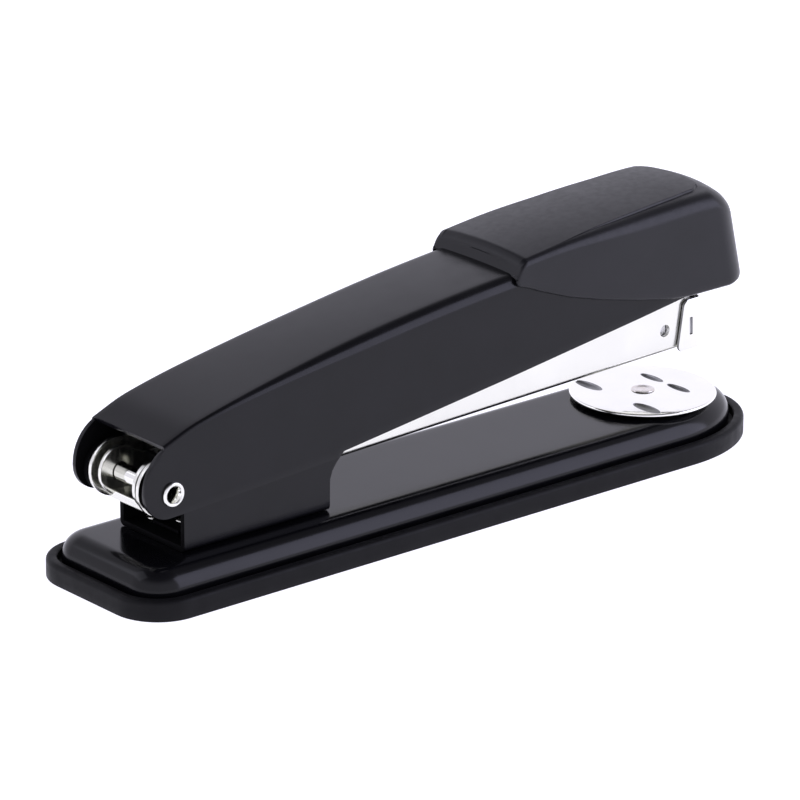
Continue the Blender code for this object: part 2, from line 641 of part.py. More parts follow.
def cap_half_width(x):
    """The cap's plan narrows to a bowed front with round corners."""
    corner = 7.0
    reach = CAP_FRONT_X - 2.0 - corner
    if x <= reach:
        return CAP_HALF_WIDTH
    t = min((x - reach) / corner, 1.0)
    return CAP_HALF_WIDTH - corner * (1 - (1 - t * t) ** 0.5) * 0.75


def cap_loft(grow, low_x, high_x, stations=22, foot_z=5.0):
    """The cap's outer form, moved out by grow, with its stations closer together at the front."""
    rings = []
    for i in range(stations + 1):
        x = low_x + (high_x - low_x) * sin(pi / 2 * i / stations)
        edge = curve_height(CAP_TOP, x) + grow
        shoulder = CAP_SHOULDER + grow
        rings.append(hood_section(x, cap_half_width(x) + grow, edge, CAP_CROWN, shoulder, foot_z))
    mesh = loft(rings)
    mesh.transform(Matrix.Translation((-PIVOT_X, 0, -PIVOT_Z)))
    return mesh


def make_cap(plastic, axis):
    """The plastic cap over the front of the cover, where the hand rests."""
    item = add_piece("cap", cap_loft(0.0, CAP_REAR_X, CAP_FRONT_X - 0.3), plastic, axis)
    outline = [(13.8, 60.0), (14.9, 49.0), (13.9, 46.2), (14.9, 44.2), (19.5, 41.8), (27.0, 39.0),
               (35.0, 36.8), (45.0, 34.5), (53.5, 32.9), (58.0, CAP_FOOT_Z)]
    outline += arc(CAP_FRONT_X - 2.6, CAP_FOOT_Z + 2.2, 2.2, 270, 350, 4)
    outline += [(CAP_FRONT_X, 40.0), (CAP_FRONT_X, 60.0)]
    side = prism_y([to_hinge(x, z) for x, z in outline], -30, 30)
    add_boolean(item, side, "INTERSECT", "side_outline")
    add_boolean(item, cover_loft(CAP_GAP, 0.0, COVER_FRONT_X + 1.0), "DIFFERENCE", "seat")
    hollow = cap_loft(-CAP_SHEET, 20.0, CAP_FRONT_X - 4.4)
    add_boolean(item, hollow, "DIFFERENCE", "hollow")


def make_driver(steel, axis):
    """The blade that drives one staple at a time, riveted under the cover's top."""
    foot_x, foot_z = BLADE_FOOT
    lean = (BLADE_HEAD_Z - foot_z) * sin(BLADE_LEAN)
    under = BLADE_HEAD_Z - BLADE_SHEET
    outline = [(foot_x, foot_z), (foot_x + BLADE_SHEET, foot_z), (foot_x + BLADE_SHEET - lean, BLADE_HEAD_Z),
               (BLADE_TAB_X, BLADE_HEAD_Z), (BLADE_TAB_X, under), (foot_x - lean - 0.4, under),
               (foot_x - lean, under - 0.5)]
    pitched = [from_magazine(x, z) for x, z in outline]
    blade = add_piece("driver_blade", prism_y(pitched, -BLADE_HALF_WIDTH, BLADE_HALF_WIDTH), steel, axis)
    holes = [rivet_hole(x, y) for x, y in BLADE_RIVETS]
    add_boolean(blade, merged(holes), "DIFFERENCE", "holes")
    low = from_magazine(BLADE_TAB_X, under)[1] - 0.15
    for number, (x, y) in enumerate(BLADE_RIVETS, 1):
        rel_x = x - PIVOT_X
        high = curve_height(COVER_TOP, x) + COVER_CROWN - PIVOT_Z + 0.15
        mesh = rivet(low, high, RIVET_HEAD, RIVET_HEAD_HEIGHT, (rel_x, y, 0))
        add_piece(f"driver_rivet_{number}", mesh, steel, axis)


def make_return_spring(spring_steel, steel, axis):
    """The leaf spring under the cover that rests on the magazine's walls and lifts the cover."""
    path = [(-8.6, 31.5), (-6.0, 30.8), (-3.0, 32.0), (4.0, 36.3), (13.0, 41.4), (21.0, 44.9), (27.5, 46.4),
            (38.0, 47.0)]
    item = add_piece("return_spring", ribbon([to_hinge(x, z) for x, z in path], 0.6, RETURN_SPRING_HALF_WIDTH),
                     spring_steel, axis)
    sides = []
    for side in (-1, 1):
        low, high = sorted((side * 4.2, side * 12.0))
        start = to_hinge(-1.0, 20.0)
        end = to_hinge(40.0, 60.0)
        sides.append(box((start[0], low, start[1]), (end[0], high, end[1])))
    add_boolean(item, merged(sides), "DIFFERENCE", "waist")
    x, y = RETURN_RIVET
    add_boolean(item, rivet_hole(x, y), "DIFFERENCE", "hole")
    high = curve_height(COVER_TOP, x) + COVER_CROWN - PIVOT_Z + 0.2
    mesh = rivet(46.0 - PIVOT_Z - 0.2, high, RIVET_HEAD, RIVET_HEAD_HEIGHT, (x - PIVOT_X, y, 0))
    add_piece("return_spring_rivet", mesh, steel, axis)


def main():
    clear_scene()
    rubber = make_material("rubber", (0.022, 0.022, 0.024), 0.0, 0.75)
    gloss = make_material("gloss_black", (0.02, 0.02, 0.022), 0.0, 0.16)
    paint = make_material("satin_black", (0.03, 0.03, 0.033), 0.0, 0.38)
    plastic = make_material("cap_plastic", (0.028, 0.028, 0.03), 0.0, 0.5)
    chrome = make_material("chrome", (0.86, 0.86, 0.87), 1.0, 0.12)
    steel = make_material("bright_steel", (0.8, 0.8, 0.81), 1.0, 0.25)
    spring_steel = make_material("spring_steel", (0.42, 0.42, 0.43), 1.0, 0.35)
    zinc = make_material("staple_wire", (0.7, 0.7, 0.71), 1.0, 0.3)

    magazine_axis = new_axis("magazine_axis", PIVOT_X, PIVOT_Z, MAGAZINE_PITCH)
    cover_axis = new_axis("cover_axis", PIVOT_X, PIVOT_Z)

    make_rubber_base(rubber)
    make_base_plate(gloss)
    make_bracket(paint)
    make_rivets(steel)
    make_pivot_rivet(chrome)
    make_lift_spring(spring_steel, steel)
    make_anvil(chrome, plastic, spring_steel)
    make_channel(steel, magazine_axis)
    make_rail(steel, magazine_axis)
    make_nose(chrome, magazine_axis)
    make_feed(steel, spring_steel, zinc, magazine_axis)
    make_cover(paint, cover_axis)
    make_cap(plastic, cover_axis)
    make_driver(steel, cover_axis)
    make_return_spring(spring_steel, steel, cover_axis)


main()
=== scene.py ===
"""Looks of the desk stapler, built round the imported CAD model.

Shapes are drawn in millimetres in the model's own frame: origin on the table under the middle of the
base, +X to the staple nose, +Z up. Pieces of the magazine are drawn in the magazine's frame, whose
origin is the hinge axis and whose x axis runs along the magazine.
"""

from math import cos, pi, radians, sin, sqrt

import bmesh
import bpy
import numpy as np
from mathutils import Matrix, Vector


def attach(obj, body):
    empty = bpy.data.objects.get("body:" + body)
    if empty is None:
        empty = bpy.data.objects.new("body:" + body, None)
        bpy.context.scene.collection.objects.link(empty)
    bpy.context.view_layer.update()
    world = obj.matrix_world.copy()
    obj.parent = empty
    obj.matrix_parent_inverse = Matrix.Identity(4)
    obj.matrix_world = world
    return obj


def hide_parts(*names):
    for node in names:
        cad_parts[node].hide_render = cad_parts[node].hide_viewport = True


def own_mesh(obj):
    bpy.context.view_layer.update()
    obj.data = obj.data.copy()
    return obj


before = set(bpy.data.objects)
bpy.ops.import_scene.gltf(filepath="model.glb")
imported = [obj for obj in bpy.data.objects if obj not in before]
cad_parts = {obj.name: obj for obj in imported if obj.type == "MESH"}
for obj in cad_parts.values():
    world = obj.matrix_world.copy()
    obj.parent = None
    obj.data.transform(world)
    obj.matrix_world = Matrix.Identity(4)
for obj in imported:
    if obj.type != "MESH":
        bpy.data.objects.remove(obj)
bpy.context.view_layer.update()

MM = 0.001
SMOOTH_ANGLE = 32
NOISE_LOW, NOISE_HIGH = 0.3, 0.7

# Hinge, and the magazine's frame
PIVOT_X, PIVOT_Z = -68.2, 21.4
PITCH = radians(1.72)
PIN_HOLE = 1.9

# Base
BASE_REAR_X, BASE_REAR_Y, BASE_REAR_RADIUS = -70.3, 9.2, 9.7
BASE_NOSE_X, BASE_NOSE_LENGTH, BASE_HALF_WIDTH = 55.2, 24.8, 18.9
RUBBER_TOP_Z, RUBBER_FLOOR_Z, RUBBER_ROUND = 4.1, 2.0, 0.9
BUTTON_HOLE = 4.3
PLATE_TOP_Z, PLATE_FOOT_Z, PLATE_SHEET = 8.4, 2.3, 1.0
PLATE_INSET, PLATE_SHOULDER, PLATE_FLAT_INSET = 3.0, 4.3, 9.2
SEAT_RADIUS, SEAT_HEIGHT = 7.0, 0.4
STEM_HOLE = 1.68

# Bracket and rivets
BRACKET_SHEET, BRACKET_HALF_WIDTH, BRACKET_FOOT_Z = 1.1, 9.7, 8.5
BRACKET_REAR_X, BRACKET_FRONT_X, BRACKET_LOBE = -64.6, -30.0, 4.8
BRACKET_TOP = ((-67.4, PIVOT_Z + 4.73), (-60.0, 26.0), (-40.0, 24.6), (-29.0, 22.0), (-27.0, 19.25))
BRACKET_NOSE = ((-30.0, 14.6), (-29.4, 16.4), (-28.3, 17.9), (-27.0, 19.2))
BRACKET_RIVETS = ((-59.0, -6.2), (-59.0, 6.2), (-36.0, -6.2), (-36.0, 6.2))
RIVET_SHANK, RIVET_HEAD, RIVET_HEAD_HEIGHT = 1.2, 1.9, 0.7
RIVET_LOW_Z = 7.35

# Anvil
ANVIL_X = 58.1
ANVIL_FOOT_Z, ANVIL_TOP_Z, ANVIL_ROUND = 9.0, 9.75, 0.35
ANVIL_RIM_RADIUS, ANVIL_RIM_Z, ANVIL_BORE = 14.25, 9.4, 1.7
POCKETS = ((6.0, 3.9, 3.2, 1.05), (-6.7, 8.5, 3.75, 1.42))
POCKET_CENTRE_Z, POCKET_DEPTH = 9.8, 0.66
COIL_RADIUS, COIL_WIRE, COIL_FOOT_Z = 3.3, 0.33, 3.3

# Magazine, in its own frame
CHANNEL_HALF_WIDTH, CHANNEL_SHEET, CHANNEL_FOOT_Z, CHANNEL_BEND = 7.5, 0.8, -5.5, 1.3
CHANNEL_LOBE = (0.4, 0.3, 5.7)
CHANNEL_WEB = (-1.0, 131.7)
SIGHT_X, SIGHT_Z, SIGHT_RADIUS = 124.95, -0.8, 1.25
RAIL_HALF_WIDTH, RAIL_SHEET, RAIL_FOOT_Z = 5.5, 0.8, -4.1
RAIL_LOBE = (0.2, 0.2, 4.8)
RAIL_WEB = (-1.98, 131.6)
RAIL_TABS = (6.0, 128.0)
ROD_RADIUS, ROD_REAR_X, ROD_LENGTH, ROD_Z = 0.8, 4.8, 125.2, -0.4
NOSE_OUTER_Y, NOSE_FRONT_X, NOSE_REAR_X, NOSE_BEND, NOSE_SHEET = 8.25, 134.0, 127.75, 1.2, 0.6
NOSE_FOOT_Z, NOSE_HEAD_Z, NOSE_SLANT = -5.9, 4.5, 0.18
STAPLE_WIRE, STAPLE_PITCH, STAPLE_COUNT, STAPLE_REAR_X = 0.5, 0.52, 50, 105.6
STAPLE_HALF_WIDTH, STAPLE_CROWN_Z, STAPLE_LEG_Z = 6.45, 3.3, -2.7

# Cover
COVER_REAR_X, COVER_FRONT_X, COVER_SHEET = -70.0, 68.0, 0.9
COVER_LOBE = (-69.0, 22.4, 5.6)
COVER_TOP = ((-76.0, 28.6), (-69.9, 31.0), (-62.5, 33.8), (-45.0, 37.7), (-20.8, 41.9), (4.0, 45.1),
             (30.0, 47.2), (70.0, 48.5))
COVER_EDGE = ((-69.0, 16.8), (-65.2, 17.0), (-29.3, 19.4), (-27.9, 20.45), (10.3, 25.6), (46.4, 30.6),
              (57.0, 32.2), (68.0, 33.8))

# Cap
CAP_TOP = ((8.0, 47.7), (20.0, 49.25), (30.0, 50.4), (43.0, 51.5), (56.5, 52.25), (63.0, 52.4), (68.0, 52.2),
           (73.0, 51.6), (78.0, 50.6))
CAP_EDGE = ((13.7, 44.6), (14.5, 44.0), (19.5, 41.8), (27.0, 39.0), (35.0, 36.8), (45.0, 34.5), (53.5, 32.9),
            (58.0, 32.5), (80.0, 32.5))
CAP_REAR = ((43.6, 14.5), (44.2, 13.9), (44.8, 13.6), (45.4, 13.65), (48.9, 15.4), (60.0, 15.5))
CAP_REAR_X, CAP_REAR_ROUND = 14.9, 1.3
CAP_HALF_WIDTH, CAP_CROWN, CAP_SHEET = 13.0, 0.8, 0.5
CAP_CORNER_X, CAP_CORNER_RADIUS = 68.5, 6.5
CAP_BOW_RADIUS, CAP_BOW_BACK, CAP_BOW_ANGLE = 30.08, 22.67, 16
CAP_LEAN, CAP_LEAN_Z = -0.23, 34.5
PAD_STEP, PAD_SLOPE = 0.42, 0.24
PAD_INSET = ((14.9, 1.1), (25.3, 1.5), (34.6, 2.4), (47.5, 3.0), (60.0, 3.7), (66.4, 4.4), (68.5, 5.8))
LIP_HALF_WIDTH, LIP_FOOT_Z, LIP_CORNER_Z = 12.35, 46.15, 45.35

MAGAZINE_FRAME = Matrix.Translation((PIVOT_X, 0, PIVOT_Z)) @ Matrix.Rotation(-PITCH, 4, "Y")


# ---------------------------------------------------------------------------
# Materials
# ---------------------------------------------------------------------------

class Nodes:
    """A material's node tree, with its Principled shader."""

    def __init__(self, name, metallic, ior=1.31):
        self.material = bpy.data.materials.new(name)
        self.material.use_nodes = True
        self.tree = self.material.node_tree
        self.shader = self.tree.nodes["Principled BSDF"]
        self.shader.inputs["Metallic"].default_value = metallic
        self.shader.inputs["IOR"].default_value = ior
        self.place = self.tree.nodes.new("ShaderNodeTexCoord").outputs["Object"]

    def link(self, out, socket):
        self.tree.links.new(out, socket)

    def noise(self, scale, detail=3.0, stretch=None):
        """Noise over the piece, drawn out along an axis by stretch."""
        node = self.tree.nodes.new("ShaderNodeTexNoise")
        node.inputs["Scale"].default_value = scale
        node.inputs["Detail"].default_value = detail
        source = self.place
        if stretch:
            mapping = self.tree.nodes.new("ShaderNodeMapping")
            mapping.inputs["Scale"].default_value = stretch
            self.link(self.place, mapping.inputs["Vector"])
            source = mapping.outputs["Vector"]
        self.link(source, node.inputs["Vector"])
        return node.outputs["Fac"]

    def roughness(self, fac, low, high):
        """Roughness that follows a noise from low to high."""
        node = self.tree.nodes.new("ShaderNodeMapRange")
        node.inputs["From Min"].default_value = NOISE_LOW
        node.inputs["From Max"].default_value = NOISE_HIGH
        node.inputs["To Min"].default_value = low
        node.inputs["To Max"].default_value = high
        self.link(fac, node.inputs["Value"])
        self.link(node.outputs["Result"], self.shader.inputs["Roughness"])

    def colour(self, fac, first, second):
        """Base colour that follows a noise from first to second."""
        node = self.tree.nodes.new("ShaderNodeValToRGB")
        ends = node.color_ramp.elements
        ends[0].position, ends[1].position = NOISE_LOW, NOISE_HIGH
        ends[0].color, ends[1].color = (*first, 1), (*second, 1)
        self.link(fac, node.inputs["Fac"])
        self.link(node.outputs["Color"], self.shader.inputs["Base Color"])

    def bump(self, fac, depth):
        """Relief of depth millimetres."""
        node = self.tree.nodes.new("ShaderNodeBump")
        node.inputs["Strength"].default_value = 1.0
        node.inputs["Distance"].default_value = depth * MM
        self.link(fac, node.inputs["Height"])
        self.link(node.outputs["Normal"], self.shader.inputs["Normal"])


def satin_black():
    """Powder-coated sheet: near black, with a soft orange-peel skin."""
    m = Nodes("satin_black", 0.0)
    m.colour(m.noise(90, 4), (0.0028, 0.0028, 0.0036), (0.0044, 0.0043, 0.0056))
    m.roughness(m.noise(260, 4), 0.2, 0.27)
    m.bump(m.noise(2600, 2), 0.004)
    return m.material


def gloss_black():
    """Baked enamel on the base plate: deep gloss, faint ripple and dust."""
    m = Nodes("gloss_black", 0.0)
    m.colour(m.noise(60, 3), (0.0018, 0.0018, 0.0024), (0.003, 0.003, 0.004))
    m.roughness(m.noise(140, 5), 0.13, 0.2)
    m.bump(m.noise(420, 2), 0.002)
    return m.material


def cap_plastic():
    """Moulded plastic with a fine spark-eroded grain."""
    m = Nodes("cap_plastic", 0.0, 1.35)
    m.colour(m.noise(120, 4), (0.0045, 0.0045, 0.006), (0.0068, 0.0067, 0.0088))
    m.roughness(m.noise(700, 4), 0.3, 0.38)
    m.bump(m.noise(5200, 3), 0.004)
    return m.material


def painted_shade_black():
    """Near-black rough paint, darker than the satin: painted shade for the cover's inside, the bracket's
    inside and edges, the rail's tabs and the lift spring.
    """
    m = Nodes("painted_shade_black", 0.0, 1.15)
    # Darker than the satin paint: painted shade.
    m.colour(m.noise(90, 4), (0.001, 0.001, 0.0013), (0.002, 0.002, 0.0025))
    m.roughness(m.noise(260, 4), 0.55, 0.7)
    m.bump(m.noise(1800, 3), 0.006)
    return m.material


def rubber():
    """Matte moulded rubber, a little dusty."""
    m = Nodes("rubber", 0.0, 1.22)
    m.colour(m.noise(160, 5), (0.003, 0.003, 0.0036), (0.0052, 0.0051, 0.006))
    m.roughness(m.noise(500, 5), 0.42, 0.54)
    m.bump(m.noise(3600, 4), 0.012)
    return m.material


def plated(name, colour, low, high, stretch, scratch=0.0015):
    """Nickel or chrome plate over rolled sheet, with a faint drawn grain."""
    m = Nodes(name, 1.0)
    dim = tuple(c * 0.93 for c in colour)
    grain = m.noise(900, 4, stretch)
    m.colour(m.noise(70, 5), dim, colour)
    m.roughness(grain, low, high)
    m.bump(grain, scratch)
    return m.material


def chrome():
    """Bright plate of the hinge rivet and the nose."""
    return plated("chrome", (0.8, 0.8, 0.75), 0.05, 0.13, (1, 1, 0.12), 0.0008)


def bright_steel():
    """Nickel-plated sheet of the channel, the rail and the small rivets."""
    return plated("bright_steel", (0.77, 0.77, 0.71), 0.14, 0.26, (1.4, 1.4, 0.1))


def anvil_chrome():
    """The disc's brighter plate, a little worn by staples."""
    m = Nodes("anvil_chrome", 1.0)
    m.colour(m.noise(110, 5), (0.95, 0.95, 0.9), (0.99, 0.99, 0.93))
    m.roughness(m.noise(800, 5), 0.08, 0.19)
    m.bump(m.noise(1500, 4), 0.0012)
    return m.material


def dull_steel_painted_shade():
    """Cut edges, slot tabs and pressed pockets: duller than the plate round them, and darker with painted
    shade for the shadow in them.
    """
    m = Nodes("dull_steel_painted_shade", 1.0)
    m.colour(m.noise(300, 5), (0.2, 0.2, 0.205), (0.34, 0.34, 0.345))
    m.roughness(m.noise(1100, 4), 0.3, 0.45)
    m.bump(m.noise(2200, 3), 0.003)
    return m.material


def spring_steel():
    """Oil-hardened spring wire, darker than the plated sheet."""
    m = Nodes("spring_steel", 1.0)
    m.colour(m.noise(240, 5), (0.34, 0.34, 0.35), (0.48, 0.48, 0.49))
    m.roughness(m.noise(900, 4, (1, 1, 0.2)), 0.24, 0.38)
    m.bump(m.noise(1800, 3), 0.002)
    return m.material


def staple_wire():
    """Zinc-coated wire."""
    m = Nodes("staple_wire", 1.0)
    m.colour(m.noise(500, 4), (0.6, 0.6, 0.61), (0.76, 0.76, 0.77))
    m.roughness(m.noise(1200, 4), 0.22, 0.36)
    m.bump(m.noise(2500, 3), 0.002)
    return m.material


def rivet_copper():
    """The anvil's rivet head, where the plating is worn to a warm tone."""
    m = Nodes("rivet_warm", 1.0)
    m.colour(m.noise(900, 4), (0.72, 0.66, 0.6), (0.86, 0.84, 0.82))
    m.roughness(m.noise(900, 4), 0.18, 0.32)
    m.bump(m.noise(1500, 3), 0.003)
    return m.material


# ---------------------------------------------------------------------------
# Mesh helpers
# ---------------------------------------------------------------------------

def arc(a, b, radius, start, end, steps):
    """Points of an arc in a plane, both ends included, angles in degrees."""
    angles = [radians(start + (end - start) * i / steps) for i in range(steps + 1)]
    return [(a + radius * cos(t), b + radius * sin(t)) for t in angles]


def smooth(t):
    """Eased step from 0 to 1."""
    t = min(max(t, 0.0), 1.0)
    return t * t * (3 - 2 * t)


def through(points, x):
    """Height at x of the smooth curve through points."""
    last = len(points) - 1
    i = 0
    while i < last - 1 and x > points[i + 1][0]:
        i += 1
    (x0, z0), (x1, z1) = points[i], points[i + 1]
    before = points[max(i - 1, 0)]
    after = points[min(i + 2, last)]
    slope0 = (z1 - before[1]) / (x1 - before[0])
    slope1 = (after[1] - z0) / (after[0] - x0)
    span = x1 - x0
    t = min(max((x - x0) / span, 0.0), 1.0)
    return ((2 * t ** 3 - 3 * t ** 2 + 1) * z0 + (t ** 3 - 2 * t ** 2 + t) * span * slope0
            + (3 * t ** 2 - 2 * t ** 3) * z1 + (t ** 3 - t ** 2) * span * slope1)


def along(points, x):
    """Height at x of the straight lines through points."""
    return float(np.interp(x, [p[0] for p in points], [p[1] for p in points]))


def sweep_faces(rows, columns, wrap_rows=False, wrap_columns=False, keep=None):
    """Quads of a grid of rows x columns points, numbered row by row."""
    faces = []
    for i in range(rows if wrap_rows else rows - 1):
        for j in range(columns if wrap_columns else columns - 1):
            if keep is None or keep(i, j):
                k, m = (i + 1) % rows, (j + 1) % columns
                faces.append((i * columns + j, i * columns + m, k * columns + m, k * columns + j))
    return faces


def half_chord(radius, offset):
    """Half the chord of a circle at this distance from its centre."""
    return sqrt(max(radius ** 2 - offset ** 2, 0))


def add_object(mesh, name, place):
    """Puts a mesh drawn in millimetres into the scene, turned into its own frame."""
    if place is not None:
        mesh.transform(place)
    mesh.transform(Matrix.Scale(MM, 4))
    data = bpy.data.meshes.new(name)
    mesh.to_mesh(data)
    mesh.free()
    item = bpy.data.objects.new(name, data)
    bpy.context.scene.collection.objects.link(item)
    return item


def piece(name, points, faces, material, body, nodes=(), inside=None, place=None, angle=SMOOTH_ANGLE,
          weld=0.004):
    """One piece from points in millimetres. Faces turn away from the point inside."""
    mesh = bmesh.new()
    verts = [mesh.verts.new(p) for p in points]
    mesh.verts.ensure_lookup_table()
    for face in faces:
        if len(set(face)) > 2:
            try:
                mesh.faces.new([verts[i] for i in face])
            except ValueError:
                continue
    loose = [v for v in mesh.verts if not v.link_faces]
    bmesh.ops.delete(mesh, geom=loose, context="VERTS")
    bmesh.ops.remove_doubles(mesh, verts=mesh.verts, dist=weld)
    bmesh.ops.dissolve_degenerate(mesh, dist=weld * 0.25, edges=mesh.edges)
    bmesh.ops.recalc_face_normals(mesh, faces=mesh.faces)
    if inside is None:
        if mesh.calc_volume(signed=True) < 0:
            bmesh.ops.reverse_faces(mesh, faces=mesh.faces)
    else:
        inside = Vector(inside)
        outward = sum((f.calc_center_median() - inside).dot(f.normal) * f.calc_area() for f in mesh.faces)
        if outward < 0:
            bmesh.ops.reverse_faces(mesh, faces=mesh.faces)
    item = add_object(mesh, name, place)
    item.data.materials.append(material)
    item.data.shade_smooth()
    item.data.set_sharp_from_angle(angle=radians(angle))
    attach(item, body)
    if nodes:
        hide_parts(*nodes)
    return item


def helper(points, faces, place=None):
    """A cutting tool for a boolean, removed once it is used."""
    mesh = bmesh.new()
    verts = [mesh.verts.new(p) for p in points]
    for face in faces:
        mesh.faces.new([verts[i] for i in face])
    bmesh.ops.recalc_face_normals(mesh, faces=mesh.faces)
    if mesh.calc_volume(signed=True) < 0:
        bmesh.ops.reverse_faces(mesh, faces=mesh.faces)
    return add_object(mesh, "cutter", place)


def rod_shape(radius, low, high, axis, centre, segments=32):
    """Points and faces of a plain cylinder."""
    turns = [2 * pi * i / segments for i in range(segments)]
    ring = [(radius * cos(t), radius * sin(t)) for t in turns]
    points = []
    for level in (low, high):
        for a, b in ring:
            local = {"X": (level, a, b), "Y": (a, level, b), "Z": (a, b, level)}[axis]
            points.append(tuple(c + d for c, d in zip(centre, local)))
    faces = sweep_faces(2, segments, wrap_columns=True)
    faces += [tuple(range(segments)), tuple(range(segments, 2 * segments))]
    return points, faces


def pin_cutter(x=0.0, z=0.0, place=None):
    """The hole for the hinge rivet, across a piece."""
    return helper(*rod_shape(PIN_HOLE, -20, 20, "Y", (x, 0, z)), place=place)


def box_shape(low, high):
    """Points and faces of a box."""
    points = [(x, y, z) for x in (low[0], high[0]) for y in (low[1], high[1]) for z in (low[2], high[2])]
    faces = [(0, 1, 3, 2), (4, 6, 7, 5), (0, 4, 5, 1), (2, 3, 7, 6), (0, 2, 6, 4), (1, 5, 7, 3)]
    return points, faces


def bake(item):
    """Replaces the mesh with what its modifiers make of it."""
    graph = bpy.context.evaluated_depsgraph_get()
    data = bpy.data.meshes.new_from_object(item.evaluated_get(graph))
    item.modifiers.clear()
    item.data = data


def thicken(item, sheet, bevel=0.0, even=True, inner=None, rim=None):
    """Gives a surface its sheet thickness on the inner side, then rounds the cut edges.

    inner and rim are the looks of the inner side and of the cut edges, where they differ.
    """
    solid = item.modifiers.new("sheet", "SOLIDIFY")
    solid.thickness = sheet * MM
    solid.offset = -1
    solid.use_even_offset = even
    solid.use_quality_normals = True
    for look, target in ((inner, "material_offset"), (rim, "material_offset_rim")):
        if look:
            item.data.materials.append(look)
            setattr(solid, target, len(item.data.materials) - 1)
    if bevel:
        soften(item, bevel)
    bake(item)


def soften(item, width, angle=55):
    """Rounds the edges sharper than angle."""
    edge = item.modifiers.new("edge", "BEVEL")
    edge.width = width * MM
    edge.segments = 2
    edge.limit_method = "ANGLE"
    edge.angle_limit = radians(angle)
    edge.use_clamp_overlap = True


def cut(item, cutters, operation="DIFFERENCE"):
    """Takes the cutters away from the piece, or adds them to it, and removes them."""
    for cutter in cutters:
        boolean = item.modifiers.new("cut", "BOOLEAN")
        boolean.operation = operation
        boolean.object = cutter
        boolean.solver = "EXACT"
    bake(item)
    for cutter in cutters:
        bpy.data.objects.remove(cutter, do_unlink=True)
    item.data.shade_smooth()
    item.data.set_sharp_from_angle(angle=radians(SMOOTH_ANGLE))


def turned(name, profile, centre, axis, material, body, nodes=(), segments=48):
    """A piece turned round an axis from (radius, along) points."""
    points = []
    for radius, level in profile:
        for i in range(segments):
            t = 2 * pi * i / segments
            a, b = max(radius, 0.0005) * cos(t), max(radius, 0.0005) * sin(t)
            local = {"Y": (a, level, b), "Z": (a, b, level)}[axis]
            points.append(tuple(c + d for c, d in zip(centre, local)))
    closed = min(r for r, _ in profile) > 0
    faces = sweep_faces(len(profile), segments, wrap_rows=closed, wrap_columns=True)
    return piece(name, points, faces, material, body, nodes, weld=0.002)


def tube(name, path, radius, material, body, nodes=(), sides=10, place=None):
    """A round wire along a path of points."""
    count = len(path)
    path = [Vector(p) for p in path]
    points = []
    across = Vector((0, 0, 1)).cross(path[1] - path[0])
    if across.length < 1e-6:
        across = Vector((0, 1, 0))
    for i, p in enumerate(path):
        heading = (path[min(i + 1, count - 1)] - path[max(i - 1, 0)]).normalized()
        across = (across - heading * across.dot(heading)).normalized()
        over = heading.cross(across)
        for k in range(sides):
            t = 2 * pi * k / sides
            points.append(tuple(p + (across * cos(t) + over * sin(t)) * radius))
    faces = sweep_faces(count, sides, wrap_columns=True)
    faces += [tuple(range(sides)), tuple(range((count - 1) * sides, count * sides))]
    return piece(name, points, faces, material, body, nodes, place=place, weld=0.001)


def helix(radius, turns, low, high, axis, centre, steps=20):
    """Points of a coil's centre line."""
    points = []
    for i in range(turns * steps + 1):
        t = 2 * pi * i / steps
        level = low + (high - low) * i / (turns * steps)
        a, b = radius * cos(t), radius * sin(t)
        local = {"X": (level, a, b), "Z": (a, b, level)}[axis]
        points.append(tuple(c + d for c, d in zip(centre, local)))
    return points


# ---------------------------------------------------------------------------
# Folded sheet
# ---------------------------------------------------------------------------

def folded(name, stations, width, web, free, cheek, radius, reach, up, material, body, nodes, inside,
           crown=None, place=None, walls=8, bend=7, across=14):
    """Sheet folded to a channel along x. Its web runs over reach at height web(x), with a bend of
    radius(x) at each side. free(x) is the walls' free edge and cheek(x) their other edge beyond the web."""
    sign = 1 if up else -1
    points = []
    on = [reach[0] - 1e-6 <= x <= reach[1] + 1e-6 for x in stations]
    for x, has_web in zip(stations, on):
        w = width(x)
        r = radius(x)
        fold_z = web(x) - sign * r if has_web else cheek(x)
        half = [(-w, free(x) + (fold_z - free(x)) * k / walls) for k in range(walls + 1)]
        for k in range(1, bend + 1):
            t = pi / 2 * k / bend
            half.append((-(w - r + r * cos(t)), fold_z + sign * r * sin(t)) if has_web else (-w, fold_z))
        flat = w - r
        bow = crown(x) if crown else 0.0
        section = [(x, y, z) for y, z in half]
        for k in range(1, across):
            y = flat * (2 * k / across - 1)
            z = web(x) + sign * bow * (1 - (y / flat) ** 2) if has_web else fold_z
            section.append((x, y, z))
        section += [(x, -y, z) for y, z in half[::-1]]
        points += section
    columns = len(points) // len(stations)

    def keep(i, j):
        return (on[i] and on[i + 1]) or j < walls or j >= columns - 1 - walls

    faces = sweep_faces(len(stations), columns, keep=keep)
    return piece(name, points, faces, material, body, nodes, inside=inside, place=place, weld=0.0015)


def lobe_stations(centre, radius):
    """Stations round a lobe's end, from its tip to its centre."""
    return [centre - radius * cos(radians(t)) for t in (0, 12, 22, 32, 42, 52, 62, 72, 81, 90)]


def between(low, high, step):
    """Even stations from low to high, about step apart."""
    count = max(1, round((high - low) / step))
    return [low + (high - low) * i / count for i in range(count + 1)]


def ordered(*groups):
    """Stations in order, without near doubles."""
    result = []
    for x in sorted(x for group in groups for x in group):
        if not result or x - result[-1] > 0.004:
            result.append(x)
    return result


# ---------------------------------------------------------------------------
# Base
# ---------------------------------------------------------------------------

def base_outline(inset, corner=14, nose=88):
    """Plan outline of the base, moved in by inset."""
    radius = BASE_REAR_RADIUS - inset
    points = arc(BASE_REAR_X, BASE_REAR_Y, radius, 90, 180, corner)
    points += arc(BASE_REAR_X, -BASE_REAR_Y, radius, 180, 270, corner)
    for i in range(nose + 1):
        t = radians(-90 + 180 * i / nose)
        points.append((BASE_NOSE_X + (BASE_NOSE_LENGTH - inset) * cos(t), (BASE_HALF_WIDTH - inset) * sin(t)))
    return points


